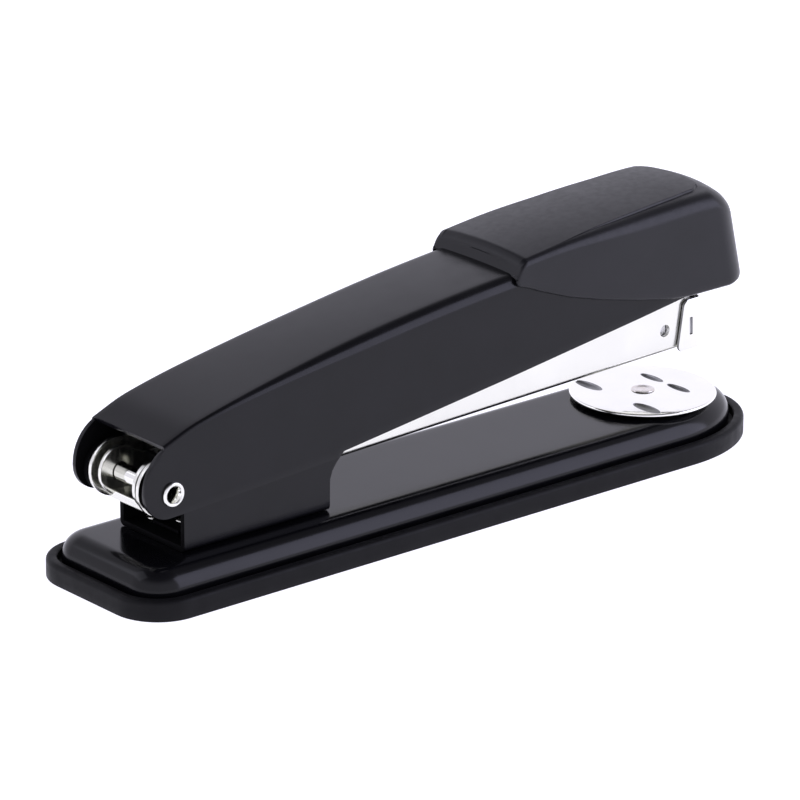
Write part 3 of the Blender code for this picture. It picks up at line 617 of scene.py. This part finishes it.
def ringed(name, levels, material, nodes):
    """A piece of rings of the base's outline at (inset, z) levels, closed by its first and last ring."""
    points = []
    for inset, z in levels:
        points += [(x, y, z) for x, y in base_outline(inset)]
    count = len(points) // len(levels)
    faces = sweep_faces(len(levels), count, wrap_columns=True)
    faces += [tuple(range(count)), tuple(range(len(points) - count, len(points)))]
    return piece(name, points, faces, material, "base", nodes, angle=40)


def make_rubber(look):
    """The rubber foot: a tray whose rounded rim stands round the plate."""
    round_z = RUBBER_TOP_Z - RUBBER_ROUND
    floor = RUBBER_FLOOR_Z
    outer = [(6.0, 0.35), (1.2, 0.3), (0.9, 0.0), (0.25, 0.0), (0.08, 0.08), (0.0, 0.25), (0.0, 1.6),
             (0.0, 3.1)]
    outer += [(RUBBER_ROUND - x, z) for x, z in arc(0, round_z, RUBBER_ROUND, 8, 90, 7)]
    inner = [(1.6, RUBBER_TOP_Z), (1.9, 4.02), (2.1, 3.8), (2.1, 3.0), (2.1, floor + 0.1), (2.3, floor)]
    item = ringed("rubber_foot", outer + inner + [(6.0, floor)], look, ["rubber_base"])
    cut(item, [helper(*rod_shape(BUTTON_HOLE, -2, 6, "Z", (ANVIL_X, 0, 0), 48))])


def make_plate(look):
    """The pressed plate: flat top, round shoulder, a skirt down into the rubber, a seat under the anvil."""
    top, inset, bend, sheet = PLATE_TOP_Z, PLATE_INSET, PLATE_SHOULDER, PLATE_SHEET
    outer = [(PLATE_FLAT_INSET, top)] + arc(inset + bend, top - bend, bend, 90, 180, 22)
    outer += [(inset, 3.2), (inset, PLATE_FOOT_Z)]
    inner = [(inset + sheet, PLATE_FOOT_Z)] + arc(inset + bend, top - bend, bend - sheet, 180, 90, 10)
    inner += [(PLATE_FLAT_INSET, top - sheet)]
    item = ringed("plate", outer + inner, look, ["base_plate"])
    axis = (ANVIL_X, 0, 0)
    cut(item, [helper(*rod_shape(SEAT_RADIUS, top - 0.5, top + SEAT_HEIGHT, "Z", axis, 64))], "UNION")
    cut(item, [helper(*rod_shape(STEM_HOLE, 5, 12, "Z", axis, 32))])


def make_bracket(look, inner_shade_look):
    """The folded bracket whose ears carry the hinge."""
    ear_x = BRACKET_TOP[0][0]
    nose_x = BRACKET_NOSE[-1][0]

    def free(x):
        if x < ear_x:
            return PIVOT_Z + half_chord(BRACKET_LOBE, x - PIVOT_X)
        return along(BRACKET_TOP, x)

    def cheek(x):
        if x > -50:
            return along(BRACKET_NOSE, x)
        return PIVOT_Z - half_chord(BRACKET_LOBE, x - PIVOT_X)

    stations = ordered(lobe_stations(PIVOT_X, BRACKET_LOBE), between(PIVOT_X, BRACKET_REAR_X - 0.05, 0.6),
                       [BRACKET_REAR_X], between(-64.0, BRACKET_FRONT_X, 1.4),
                       [-29.97, -29.7, -29.4, -28.9, -28.3, -27.6, nose_x])
    item = folded("bracket", stations, lambda x: BRACKET_HALF_WIDTH, lambda x: BRACKET_FOOT_Z, free, cheek,
                  lambda x: BRACKET_SHEET, (BRACKET_REAR_X, BRACKET_FRONT_X), False, look, "base",
                  ["hinge_bracket"], (-48, 0, 17))
    # The inside and the cut edges get the darker black: painted shade between the ears and on the edges.
    thicken(item, BRACKET_SHEET, 0.06, inner=inner_shade_look, rim=inner_shade_look)
    cut(item, [pin_cutter(PIVOT_X, PIVOT_Z)])


def set_rivet(name, low, high, centre, look, body, node):
    """A set rivet: the shank from low to high, with a domed head beyond each end."""
    head, height = RIVET_HEAD, RIVET_HEAD_HEIGHT
    lower = [(0, low - height)]
    lower += [(head * sin(t), low - height * cos(t)) for t in (0.4, 0.75, 1.05, 1.3, 1.5)]
    upper = [(r, high + (low - z)) for r, z in lower[::-1]]
    profile = lower + [(head, low), (RIVET_SHANK, low), (RIVET_SHANK, high), (head, high)] + upper
    turned(name, profile, centre, "Z", look, body, [node], 24)


def make_rivets(steel):
    """The small set rivets: bracket, lift spring, blade and return spring."""
    for number, (x, y) in enumerate(BRACKET_RIVETS, 1):
        set_rivet(f"rivet_bracket_{number}", RIVET_LOW_Z, 9.8, (x, y, 0), steel, "base",
                  f"bracket_rivet_{number}")
    set_rivet("rivet_lift", RIVET_LOW_Z, 10.55, (-57.0, 0, 0), steel, "base", "lift_spring_rivet")
    for number, y in ((1, -3.2), (2, 3.2)):
        set_rivet(f"rivet_driver_{number}", 46.62, 48.15, (52.0, y, 0), steel, "cover",
                  f"driver_rivet_{number}")
    set_rivet("rivet_return", 45.8, 47.45, (32.0, 0, 0), steel, "cover", "return_spring_rivet")


def make_pivot(look):
    """The tubular hinge rivet, rolled over at both ends."""
    lip = arc(2.02, 11.16, 0.42, -50, 165, 12)
    half = [(1.7, 0), (1.7, 10.6)] + lip + [(1.5, 10.95), (1.32, 10.5), (1.2, 9.9), (1.1, 9.0), (1.05, 0)]
    profile = half[1:-1] + [(r, -z) for r, z in half[-2:0:-1]]
    turned("hinge_rivet", profile, (PIVOT_X, 0, PIVOT_Z), "Y", look, "base", ["pivot_rivet"], 56)


def pocket_cutter(x, y, length, width, rings=14, spokes=28):
    """A boat-shaped pocket across the disc, where a staple's leg is turned."""
    points = []
    for i in range(rings + 1):
        level = -1 + 2 * i / rings
        reach = max(sqrt(max(1 - level * level, 0)), 0.001)
        for k in range(spokes):
            t = 2 * pi * k / spokes
            points.append((x + width * reach * cos(t), y + length * reach * sin(t),
                           POCKET_CENTRE_Z + POCKET_DEPTH * level))
    faces = sweep_faces(rings + 1, spokes, wrap_columns=True)
    faces += [tuple(range(spokes)), tuple(range(rings * spokes, (rings + 1) * spokes))]
    return helper(points, faces)


def make_anvil(look, pocket_shade_look, head_look, spring):
    """The clinching disc with its four pressed pockets, the stem's rivet head and the spring below."""
    axis = (ANVIL_X, 0, 0)
    foot, top = ANVIL_FOOT_Z, ANVIL_TOP_Z
    profile = [(ANVIL_BORE, foot), (8.0, foot)] + arc(ANVIL_RIM_RADIUS, ANVIL_RIM_Z, ANVIL_ROUND, -90, 90, 6)
    profile += [(12.5, top), (6.0, top), (ANVIL_BORE, top)]
    disc = turned("clinch_disc", profile, axis, "Z", look, "anvil", ["anvil_disc"], 128)
    cut(disc, [pocket_cutter(ANVIL_X + offset, side * middle, length, width)
               for offset, middle, length, width in POCKETS for side in (-1, 1)])
    # The pockets' upward faces get the darker steel: painted shade inside the pockets.
    disc.data.materials.append(pocket_shade_look)
    for face in disc.data.polygons:
        x, y, z = face.center / MM
        if face.normal.z > 0.15 and foot + 0.02 < z < top - 0.015 and (x - ANVIL_X) ** 2 + y ** 2 < 13.8 ** 2:
            face.material_index = 1
    stem = [(0, 1.7), (1.6, 1.7), (1.6, 9.77), (2.2, 9.77), (2.36, 9.84), (2.25, 9.97), (1.9, 10.06),
            (1.55, 10.0), (1.3, 9.9), (0.9, 9.87), (0, 9.87)]
    turned("clinch_stem", stem, axis, "Z", head_look, "anvil", ["anvil_stem"], 48)
    path = helix(COIL_RADIUS, 4, 3.65, 7.0, "Z", axis, 28)
    coil = tube("clinch_spring", path, COIL_WIRE, spring, "anvil_button", ["anvil_spring"], 10)
    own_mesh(coil)


# ---------------------------------------------------------------------------
# Magazine
# ---------------------------------------------------------------------------

def make_channel(look, tab_shade_look):
    """The outer channel, with a round lobe at each side of the hinge and a tab in each nose slot."""
    cx, cz, r = CHANNEL_LOBE
    top = ((1.9, cz + 5.5), (8.0, 6.5), (110.0, 6.5), (118.0, 9.3), (131.7, 9.3))

    def free(x):
        if x < top[0][0]:
            return cz + half_chord(r, x - cx)
        return along(top, x)

    stations = ordered(lobe_stations(cx, r), [-1.02, -1.0], between(0.4, 8, 0.8), between(8, 110, 3.0),
                       between(110, 118, 1.0), between(118, 131.7, 1.4))
    item = folded("channel", stations, lambda x: CHANNEL_HALF_WIDTH, lambda x: CHANNEL_FOOT_Z, free,
                  lambda x: cz - half_chord(r, x - cx), lambda x: CHANNEL_BEND, CHANNEL_WEB, False, look,
                  "magazine", ["magazine_channel"], (60, 0, 1), place=MAGAZINE_FRAME)
    thicken(item, CHANNEL_SHEET, 0.1)
    sight = helper(*rod_shape(SIGHT_RADIUS, -20, 20, "Y", (SIGHT_X, 0, SIGHT_Z)), place=MAGAZINE_FRAME)
    cut(item, [sight, pin_cutter(place=MAGAZINE_FRAME)])
    # The tabs in the nose slots get the darker steel: painted shade in the slots.
    for side, name in ((-1, "channel_tab_right"), (1, "channel_tab_left")):
        low, high = sorted((side * 7.3, side * 8.2))
        small_tab(name, (131.08, low, -2.7), (131.52, high, 0.5), 0.08, tab_shade_look)


def small_tab(name, low, high, edge, look):
    """A sheet tab of the magazine with rounded edges."""
    points, faces = box_shape(low, high)
    tab = piece(name, points, faces, look, "magazine", (), place=MAGAZINE_FRAME)
    soften(tab, edge)
    bake(tab)


def make_rail(look, tab_shade_look, rod_look):
    """The inner rail with its two cross tabs, and the rod through them."""
    cx, cz, r = RAIL_LOBE
    top = ((3.2, cz + 3.7), (5.5, 2.5), (131.6, 2.5))
    stations = ordered(lobe_stations(cx, r), [-2.0, -1.98], between(0.2, 5.5, 0.7), between(5.5, 131.6, 3.0))

    def free(x):
        if x < top[0][0]:
            return cz + half_chord(r, x - cx)
        return along(top, x)

    item = folded("rail", stations, lambda x: RAIL_HALF_WIDTH, lambda x: RAIL_FOOT_Z, free,
                  lambda x: cz - half_chord(r, x - cx), lambda x: RAIL_SHEET, RAIL_WEB, False, look,
                  "magazine", ["staple_rail"], (60, 0, 0), place=MAGAZINE_FRAME)
    thicken(item, RAIL_SHEET, 0.08)
    cut(item, [pin_cutter(place=MAGAZINE_FRAME)])
    # The cross tabs get the darker black: painted shade inside the magazine.
    for number, x in enumerate(RAIL_TABS, 1):
        small_tab(f"rail_tab_{number}", (x, -4.75, -3.4), (x + RAIL_SHEET, 4.75, 2.4), 0.12, tab_shade_look)
    path = [(ROD_REAR_X + ROD_LENGTH * i / 12, 0, ROD_Z) for i in range(13)]
    tube("rod", path, ROD_RADIUS, rod_look, "magazine", ["guide_rod"], 20, place=MAGAZINE_FRAME)


def make_nose(look, edge_shade_look):
    """The plate wrapped round the magazine's front, with slanted rear edges and round corners."""
    outer_y, front_x, rear_x, bend = NOSE_OUTER_Y, NOSE_FRONT_X, NOSE_REAR_X, NOSE_BEND
    path = [(rear_x + step, -outer_y) for step in (0.0, 1.2, 2.4, 3.6)]
    path += arc(front_x - bend, -outer_y + bend, bend, -90, 0, 8)
    path += [(front_x, y) for y in (-5.2, -2.6, 0, 2.6, 5.2)]
    path += arc(front_x - bend, outer_y - bend, bend, 0, 90, 8)
    path += [(rear_x + step, outer_y) for step in (3.6, 2.4, 1.2, 0.0)]
    foot, head, levels = NOSE_FOOT_Z, NOSE_HEAD_Z, 26
    points = []
    for k in range(levels + 1):
        z = foot + (head - foot) * k / levels
        corner = max(0.0, 1.1 - min(z - foot, head - z))
        for x, y in path:
            share = max(0.0, 1 - (x - rear_x) / 4)
            points.append((x + (NOSE_SLANT * (z - foot) + 0.75 * corner ** 2) * share, y, z))
    faces = sweep_faces(levels + 1, len(path))
    item = piece("nose_plate", points, faces, look, "magazine", ["nose_guide"], inside=(130, 0, 2),
                 place=MAGAZINE_FRAME)
    # The cut edges get the darker steel: a duller edge, with painted shade for the gap behind it.
    thicken(item, NOSE_SHEET, 0.1, rim=edge_shade_look)
    slots = []
    for side in (-1, 1):
        low, high = sorted((side * 6.5, side * 9.5))
        slots.append(helper(*box_shape((130.95, low, -2.9), (131.65, high, 0.7)), place=MAGAZINE_FRAME))
    cut(item, slots)


def make_staples(look):
    """One stick of staples: bent wires side by side."""
    wire, outer, crown, leg = STAPLE_WIRE, STAPLE_HALF_WIDTH, STAPLE_CROWN_Z, STAPLE_LEG_Z
    outline = [(-outer, leg)] + [(-y, z) for y, z in arc(outer - wire, crown - wire, wire, 0, 90, 4)]
    outline += arc(outer - wire, crown - wire, wire, 90, 0, 4) + [(outer, leg)]
    inner = outer - wire
    bend = arc(inner - 0.2, crown - wire - 0.2, 0.2, 0, 90, 2)
    outline += [(inner, leg)] + bend + [(-y, z) for y, z in bend[::-1]] + [(-inner, leg)]
    n = len(outline)
    points, faces = [], []
    for k in range(STAPLE_COUNT):
        x = STAPLE_REAR_X + STAPLE_PITCH * k
        base = len(points)
        for level, shrink in ((x, 0.06), (x + 0.07, 0.0), (x + wire - 0.05, 0.0), (x + wire + 0.01, 0.06)):
            for y, z in outline:
                points.append((level, y * (1 - shrink / outer), z - shrink * (1 if z > 0 else -1)))
        faces += [tuple(base + i for i in face) for face in sweep_faces(4, n, wrap_columns=True)]
        faces += [tuple(range(base, base + n)), tuple(range(base + 3 * n, base + 4 * n))]
    piece("staples", points, faces, look, "magazine", ["staple_strip"], place=MAGAZINE_FRAME,
          weld=0.0005)


def make_follower_spring(look):
    """The long coil on the rod, which shortens as the follower slides back."""
    path = helix(2.1, 27, 7.2, 92.45, "X", (0, 0, ROD_Z), 20)
    coil = tube("push_spring", path, 0.28, look, "magazine", ["follower_spring"], 8,
                place=MAGAZINE_FRAME)
    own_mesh(coil)


# ---------------------------------------------------------------------------
# Cover and cap
# ---------------------------------------------------------------------------

def make_cover(look, inner_shade_look):
    """The long cover: a folded hood with two round cheeks at the hinge."""
    cx, cz, r = COVER_LOBE
    rear = COVER_REAR_X

    def width(x):
        return 10.9 + 1.05 * min(max((x - rear) / 84, 0), 1)

    def free(x):
        if x < cx:
            return cz - half_chord(r, x - cx)
        return along(COVER_EDGE, x)

    def cheek(x):
        return 22.5 + 8.6 * sqrt(max(1 - ((x + 66.5) / 8.1) ** 2, 0))

    stations = ordered(lobe_stations(cx, r), [rear - 0.02, rear, -66.0, -65.2, -29.3, -28.6, -27.9],
                       between(-69.0, -27.9, 1.6), between(-27.9, COVER_FRONT_X, 2.0))
    item = folded("cover_hood", stations, width, lambda x: through(COVER_TOP, x), free, cheek,
                  lambda x: 0.7 + 1.9 * smooth((x - rear) / 55), (rear, COVER_FRONT_X), True, look, "cover",
                  ["cover"], (-10, 0, 30), crown=lambda x: 0.15 * smooth((x - rear) / 50),
                  walls=10, bend=9, across=18)
    # The inside gets the darker black: painted shade under the hood.
    thicken(item, COVER_SHEET, 0.1, inner=inner_shade_look)
    cut(item, [pin_cutter(PIVOT_X, PIVOT_Z)])


def cap_plan():
    """Points and outward normals of the cap's wall in plan, from the rear right round the front."""
    rear = [CAP_REAR_X + t for t in (0, 0.03, 0.1, 0.2, 0.35, 0.55, 0.8, 1.1, 1.5)]
    sides = rear + between(CAP_REAR_X + 2, CAP_CORNER_X - 0.8, 0.7)
    plan = [((x, -CAP_HALF_WIDTH), (0.0, -1.0)) for x in sides]
    corner_y = CAP_CORNER_RADIUS - CAP_HALF_WIDTH
    for t in np.linspace(-90, -CAP_BOW_ANGLE, 15):
        a = radians(t)
        plan.append(((CAP_CORNER_X + CAP_CORNER_RADIUS * cos(a), corner_y + CAP_CORNER_RADIUS * sin(a)),
                     (cos(a), sin(a))))
    for t in np.linspace(-CAP_BOW_ANGLE, 0, 11)[1:]:
        a = radians(t)
        plan.append(((CAP_CORNER_X - CAP_BOW_BACK + CAP_BOW_RADIUS * cos(a), CAP_BOW_RADIUS * sin(a)),
                     (cos(a), sin(a))))
    return plan + [((x, -y), (nx, -ny)) for (x, y), (nx, ny) in plan[-2::-1]]


def pad_inset(px, py):
    """How far inside the cap's wall the edge of the raised pad runs."""
    if px < CAP_CORNER_X:
        return along(PAD_INSET, px)
    return 5.85 + 0.15 * max(0.0, 1 - abs(py) / 8.3)


def cap_height(x, y, inset, pad):
    """The cap's top: crowned, with a pad that stands a little above its rim towards the front."""
    z = through(CAP_TOP, x) + CAP_CROWN * (1 - min(abs(y) / CAP_HALF_WIDTH, 1.0) ** 2)
    step = PAD_STEP * smooth((x - 22) / 26)
    return z - step * (1 - smooth(1 + (inset - pad) / PAD_SLOPE))


def rounding(radius, t):
    """How far a rounded edge of this radius falls away at distance t from its end."""
    return radius - half_chord(radius, max(radius - t, 0.0))


def lip_foot(y, z):
    """Where the lip behind (y, z) ends, just clear of the cover's top and side."""
    side = 1 if y > 0 else -1
    if abs(y) < LIP_HALF_WIDTH:
        return y, min(z, LIP_FOOT_Z - 0.8 * (y / LIP_HALF_WIDTH) ** 4)
    return side * LIP_HALF_WIDTH, min(z, LIP_CORNER_Z)


def cap_column(px, py, nx, ny):
    """One line of points up the cap's wall at a place in its plan, over the top to the middle."""
    front = abs(nx)
    pad = pad_inset(px, py)
    run = min(max((CAP_CORNER_X - px) / 9.4, 0.1), 1.0)
    insets = [pad * share for share in (0.0, 0.01, 0.04, 0.08, 0.14, 0.22, 0.31, 0.41, 0.52, 0.64, 0.76)]
    insets += [pad + step for step in (-0.28, -0.24, -0.2, -0.16, -0.12, -0.08, -0.04, 0.0)]
    insets += [pad + run * step for step in (0.06, 0.2, 0.5, 1.1, 2.0, 3.0)]
    round_top = 1.3 + 1.5 * smooth((px - 15) / 40) + 2.9 * front
    round_foot = 0.7 + 1.4 * front
    low = along(CAP_EDGE, px)
    aft = px - CAP_REAR_X
    drop = rounding(CAP_REAR_ROUND, aft)
    lean = CAP_LEAN * smooth((px - 32) / 38)
    width = (1 - 0.03 * (1 - smooth((px - 14) / 30))) * (1 - rounding(0.5, aft) / CAP_HALF_WIDTH)

    def spot(inset, z):
        back = (along(CAP_REAR, z) - CAP_REAR_X) * (1 - smooth(aft / 3))
        return px - inset * nx + lean * (z - CAP_LEAN_Z) + back, (py - inset * ny) * width

    def top_at(inset):
        z = 50.0
        for _ in range(4):
            x, y = spot(inset, z)
            z = cap_height(x, y, inset, pad) - drop - rounding(round_top, inset)
        return z

    column = []
    for t in (90, 60, 30, 8):
        inset = round_foot * (1 - cos(radians(t)))
        z = low + round_foot * (1 - sin(radians(t)))
        column.append((*spot(inset, z), z))
    start, end = low + round_foot, top_at(0.0)
    for k in range(1, 15):
        z = start + (end - start) * k / 15
        column.append((*spot(0.0, z), z))
    for inset in insets:
        z = top_at(inset)
        column.append((*spot(inset, z), z))
    x1, y1, _ = column[-1]
    spine = min(x1, 56.0)
    for k in range(1, 9):
        x, y = x1 + (spine - x1) * k / 8, y1 * (1 - k / 8)
        column.append((x, y, cap_height(x, y, 9.0, pad) - drop))
    return column


def cap_lip(column):
    """Rows of the lip that turns down at the cap's rear, from the cap's edge to its foot."""
    rows = [[], [], [], []]
    for _, y, z in column:
        foot_y, foot_z = lip_foot(y, z)
        for row, share in zip(rows, (0.1, 0.4, 0.75, 1.0)):
            level = z + (foot_z - z) * share
            row.append((along(CAP_REAR, level), y + (foot_y - y) * share, level))
    return rows


def make_cap(look):
    """The moulded cap over the front of the cover."""
    columns = [cap_column(px, py, nx, ny) for (px, py), (nx, ny) in cap_plan()]
    rows = cap_lip(columns[0])[::-1] + columns + cap_lip(columns[-1])
    flat = [p for row in rows for p in row]
    faces = sweep_faces(len(rows), len(rows[0]))
    item = piece("palm_cap", flat, faces, look, "cover", ["cap"], inside=(45, 0, 42), angle=42)
    thicken(item, CAP_SHEET, even=False)
    item.data.shade_smooth()
    item.data.set_sharp_from_angle(angle=radians(42))


# ---------------------------------------------------------------------------
# Stage
# ---------------------------------------------------------------------------

# Height in the tent (0 below, 1 overhead) and its brightness there
TENT_LEVELS = ((0.0, 1.03), (0.47, 1.0), (0.643, 0.7), (0.74, 0.38), (0.82, 0.2), (1.0, 0.1))
TENT_TINT = (1.0, 0.985, 1.12)
# Name, place, aim, width, height, watts, tint
LIGHTS = (("key", (1.06, -1.06, 0.8), (0, 0, 0.8), 1.0, 1.6, 10.0, (0.95, 0.95, 1.28)),
          ("fill", (-0.72, 0.6, 0.95), (0, 0, 0.03), 0.9, 0.7, 1.6, (0.92, 0.93, 1.08)))
SENSOR_WIDTH, FOCAL_LENGTH = 36, 261.4
CAMERA_PLACE, CAMERA_AIM, CAMERA_ROLL = (-0.67603, -0.79376, 0.40185), (-0.00476, 0, 0.02202), -0.363


def make_floor():
    """A white table that glows a little, so that it stays as pale as the paper behind."""
    data = bpy.data.meshes.new("floor")
    reach = 3.0
    data.from_pydata([(-reach, -reach, 0), (reach, -reach, 0), (reach, reach, 0), (-reach, reach, 0)], [],
                     [(0, 1, 2, 3)])
    floor = bpy.data.objects.new("floor", data)
    bpy.context.scene.collection.objects.link(floor)
    m = Nodes("floor", 0.0)
    m.colour(m.noise(6, 2), (0.5, 0.5, 0.5), (0.53, 0.53, 0.53))
    m.shader.inputs["Roughness"].default_value = 0.8
    m.shader.inputs["Specular IOR Level"].default_value = 0.1
    m.shader.inputs["Emission Color"].default_value = (0.9, 0.89, 1.0, 1)
    m.shader.inputs["Emission Strength"].default_value = 1.05
    data.materials.append(m.material)


def make_world():
    """A light tent: white all round, darker overhead."""
    world = bpy.data.worlds.new("tent")
    bpy.context.scene.world = world
    world.use_nodes = True
    tree = world.node_tree
    background = tree.nodes["Background"]
    place = tree.nodes.new("ShaderNodeTexCoord")
    split = tree.nodes.new("ShaderNodeSeparateXYZ")
    ramp = tree.nodes.new("ShaderNodeValToRGB")
    tree.links.new(place.outputs["Generated"], split.inputs["Vector"])
    tree.links.new(split.outputs["Z"], ramp.inputs["Fac"])
    tree.links.new(ramp.outputs["Color"], background.inputs["Color"])
    ends = ramp.color_ramp.elements
    ends[0].position, ends[1].position = 0.0, 1.0
    for _ in TENT_LEVELS[2:]:
        ends.new(0.5)
    for end, (position, level) in zip(ends, TENT_LEVELS):
        end.position = position
        end.color = (*(tint * level for tint in TENT_TINT), 1)
    background.inputs["Strength"].default_value = 1.0


def soft_light(name, place, aim, width, height, power, tint):
    """A soft box at place, turned to aim, sizes in metres."""
    light = bpy.data.lights.new(name, "AREA")
    light.shape = "RECTANGLE"
    light.size, light.size_y = width, height
    light.energy = power
    light.color = tint
    item = bpy.data.objects.new(name, light)
    bpy.context.scene.collection.objects.link(item)
    item.location = place
    item.rotation_mode = "QUATERNION"
    item.rotation_quaternion = (Vector(aim) - Vector(place)).to_track_quat("-Z", "Y")


def make_camera():
    """The photo's camera, fitted to the outline of the base."""
    lens = bpy.data.cameras.new("camera")
    lens.sensor_width = SENSOR_WIDTH
    lens.lens = FOCAL_LENGTH
    lens.clip_start, lens.clip_end = 0.05, 20
    camera = bpy.data.objects.new("camera", lens)
    bpy.context.scene.collection.objects.link(camera)
    camera.location = CAMERA_PLACE
    aim = Vector(CAMERA_AIM) - camera.location
    camera.rotation_mode = "QUATERNION"
    roll = Matrix.Rotation(radians(CAMERA_ROLL), 3, aim.normalized()).to_quaternion()
    camera.rotation_quaternion = roll @ aim.to_track_quat("-Z", "Y")
    bpy.context.scene.camera = camera


def main():
    satin, gloss, plastic, rubbery = satin_black(), gloss_black(), cap_plastic(), rubber()
    bright, steel, clinch, spring = chrome(), bright_steel(), anvil_chrome(), spring_steel()
    wire, warm, dull_shaded, shade = staple_wire(), rivet_copper(), dull_steel_painted_shade(), painted_shade_black()

    make_rubber(rubbery)
    make_plate(gloss)
    make_bracket(satin, shade)
    make_rivets(steel)
    make_pivot(bright)
    make_anvil(clinch, dull_shaded, warm, spring)
    make_channel(steel, dull_shaded)
    make_rail(steel, shade, steel)
    make_nose(bright, dull_shaded)
    make_staples(wire)
    make_follower_spring(spring)
    make_cover(satin, shade)
    make_cap(plastic)

    # The lift spring gets the darker black: painted shade between the bracket's ears.
    kept = {"lift_spring": shade, "return_spring": spring, "driver_blade": steel, "follower": steel,
            "anvil_button": plastic}
    for node, look in kept.items():
        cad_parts[node].data.materials.clear()
        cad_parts[node].data.materials.append(look)

    make_floor()
    make_world()
    for light in LIGHTS:
        soft_light(*light)
    bpy.context.scene.view_settings.view_transform = "Standard"
    make_camera()


main()
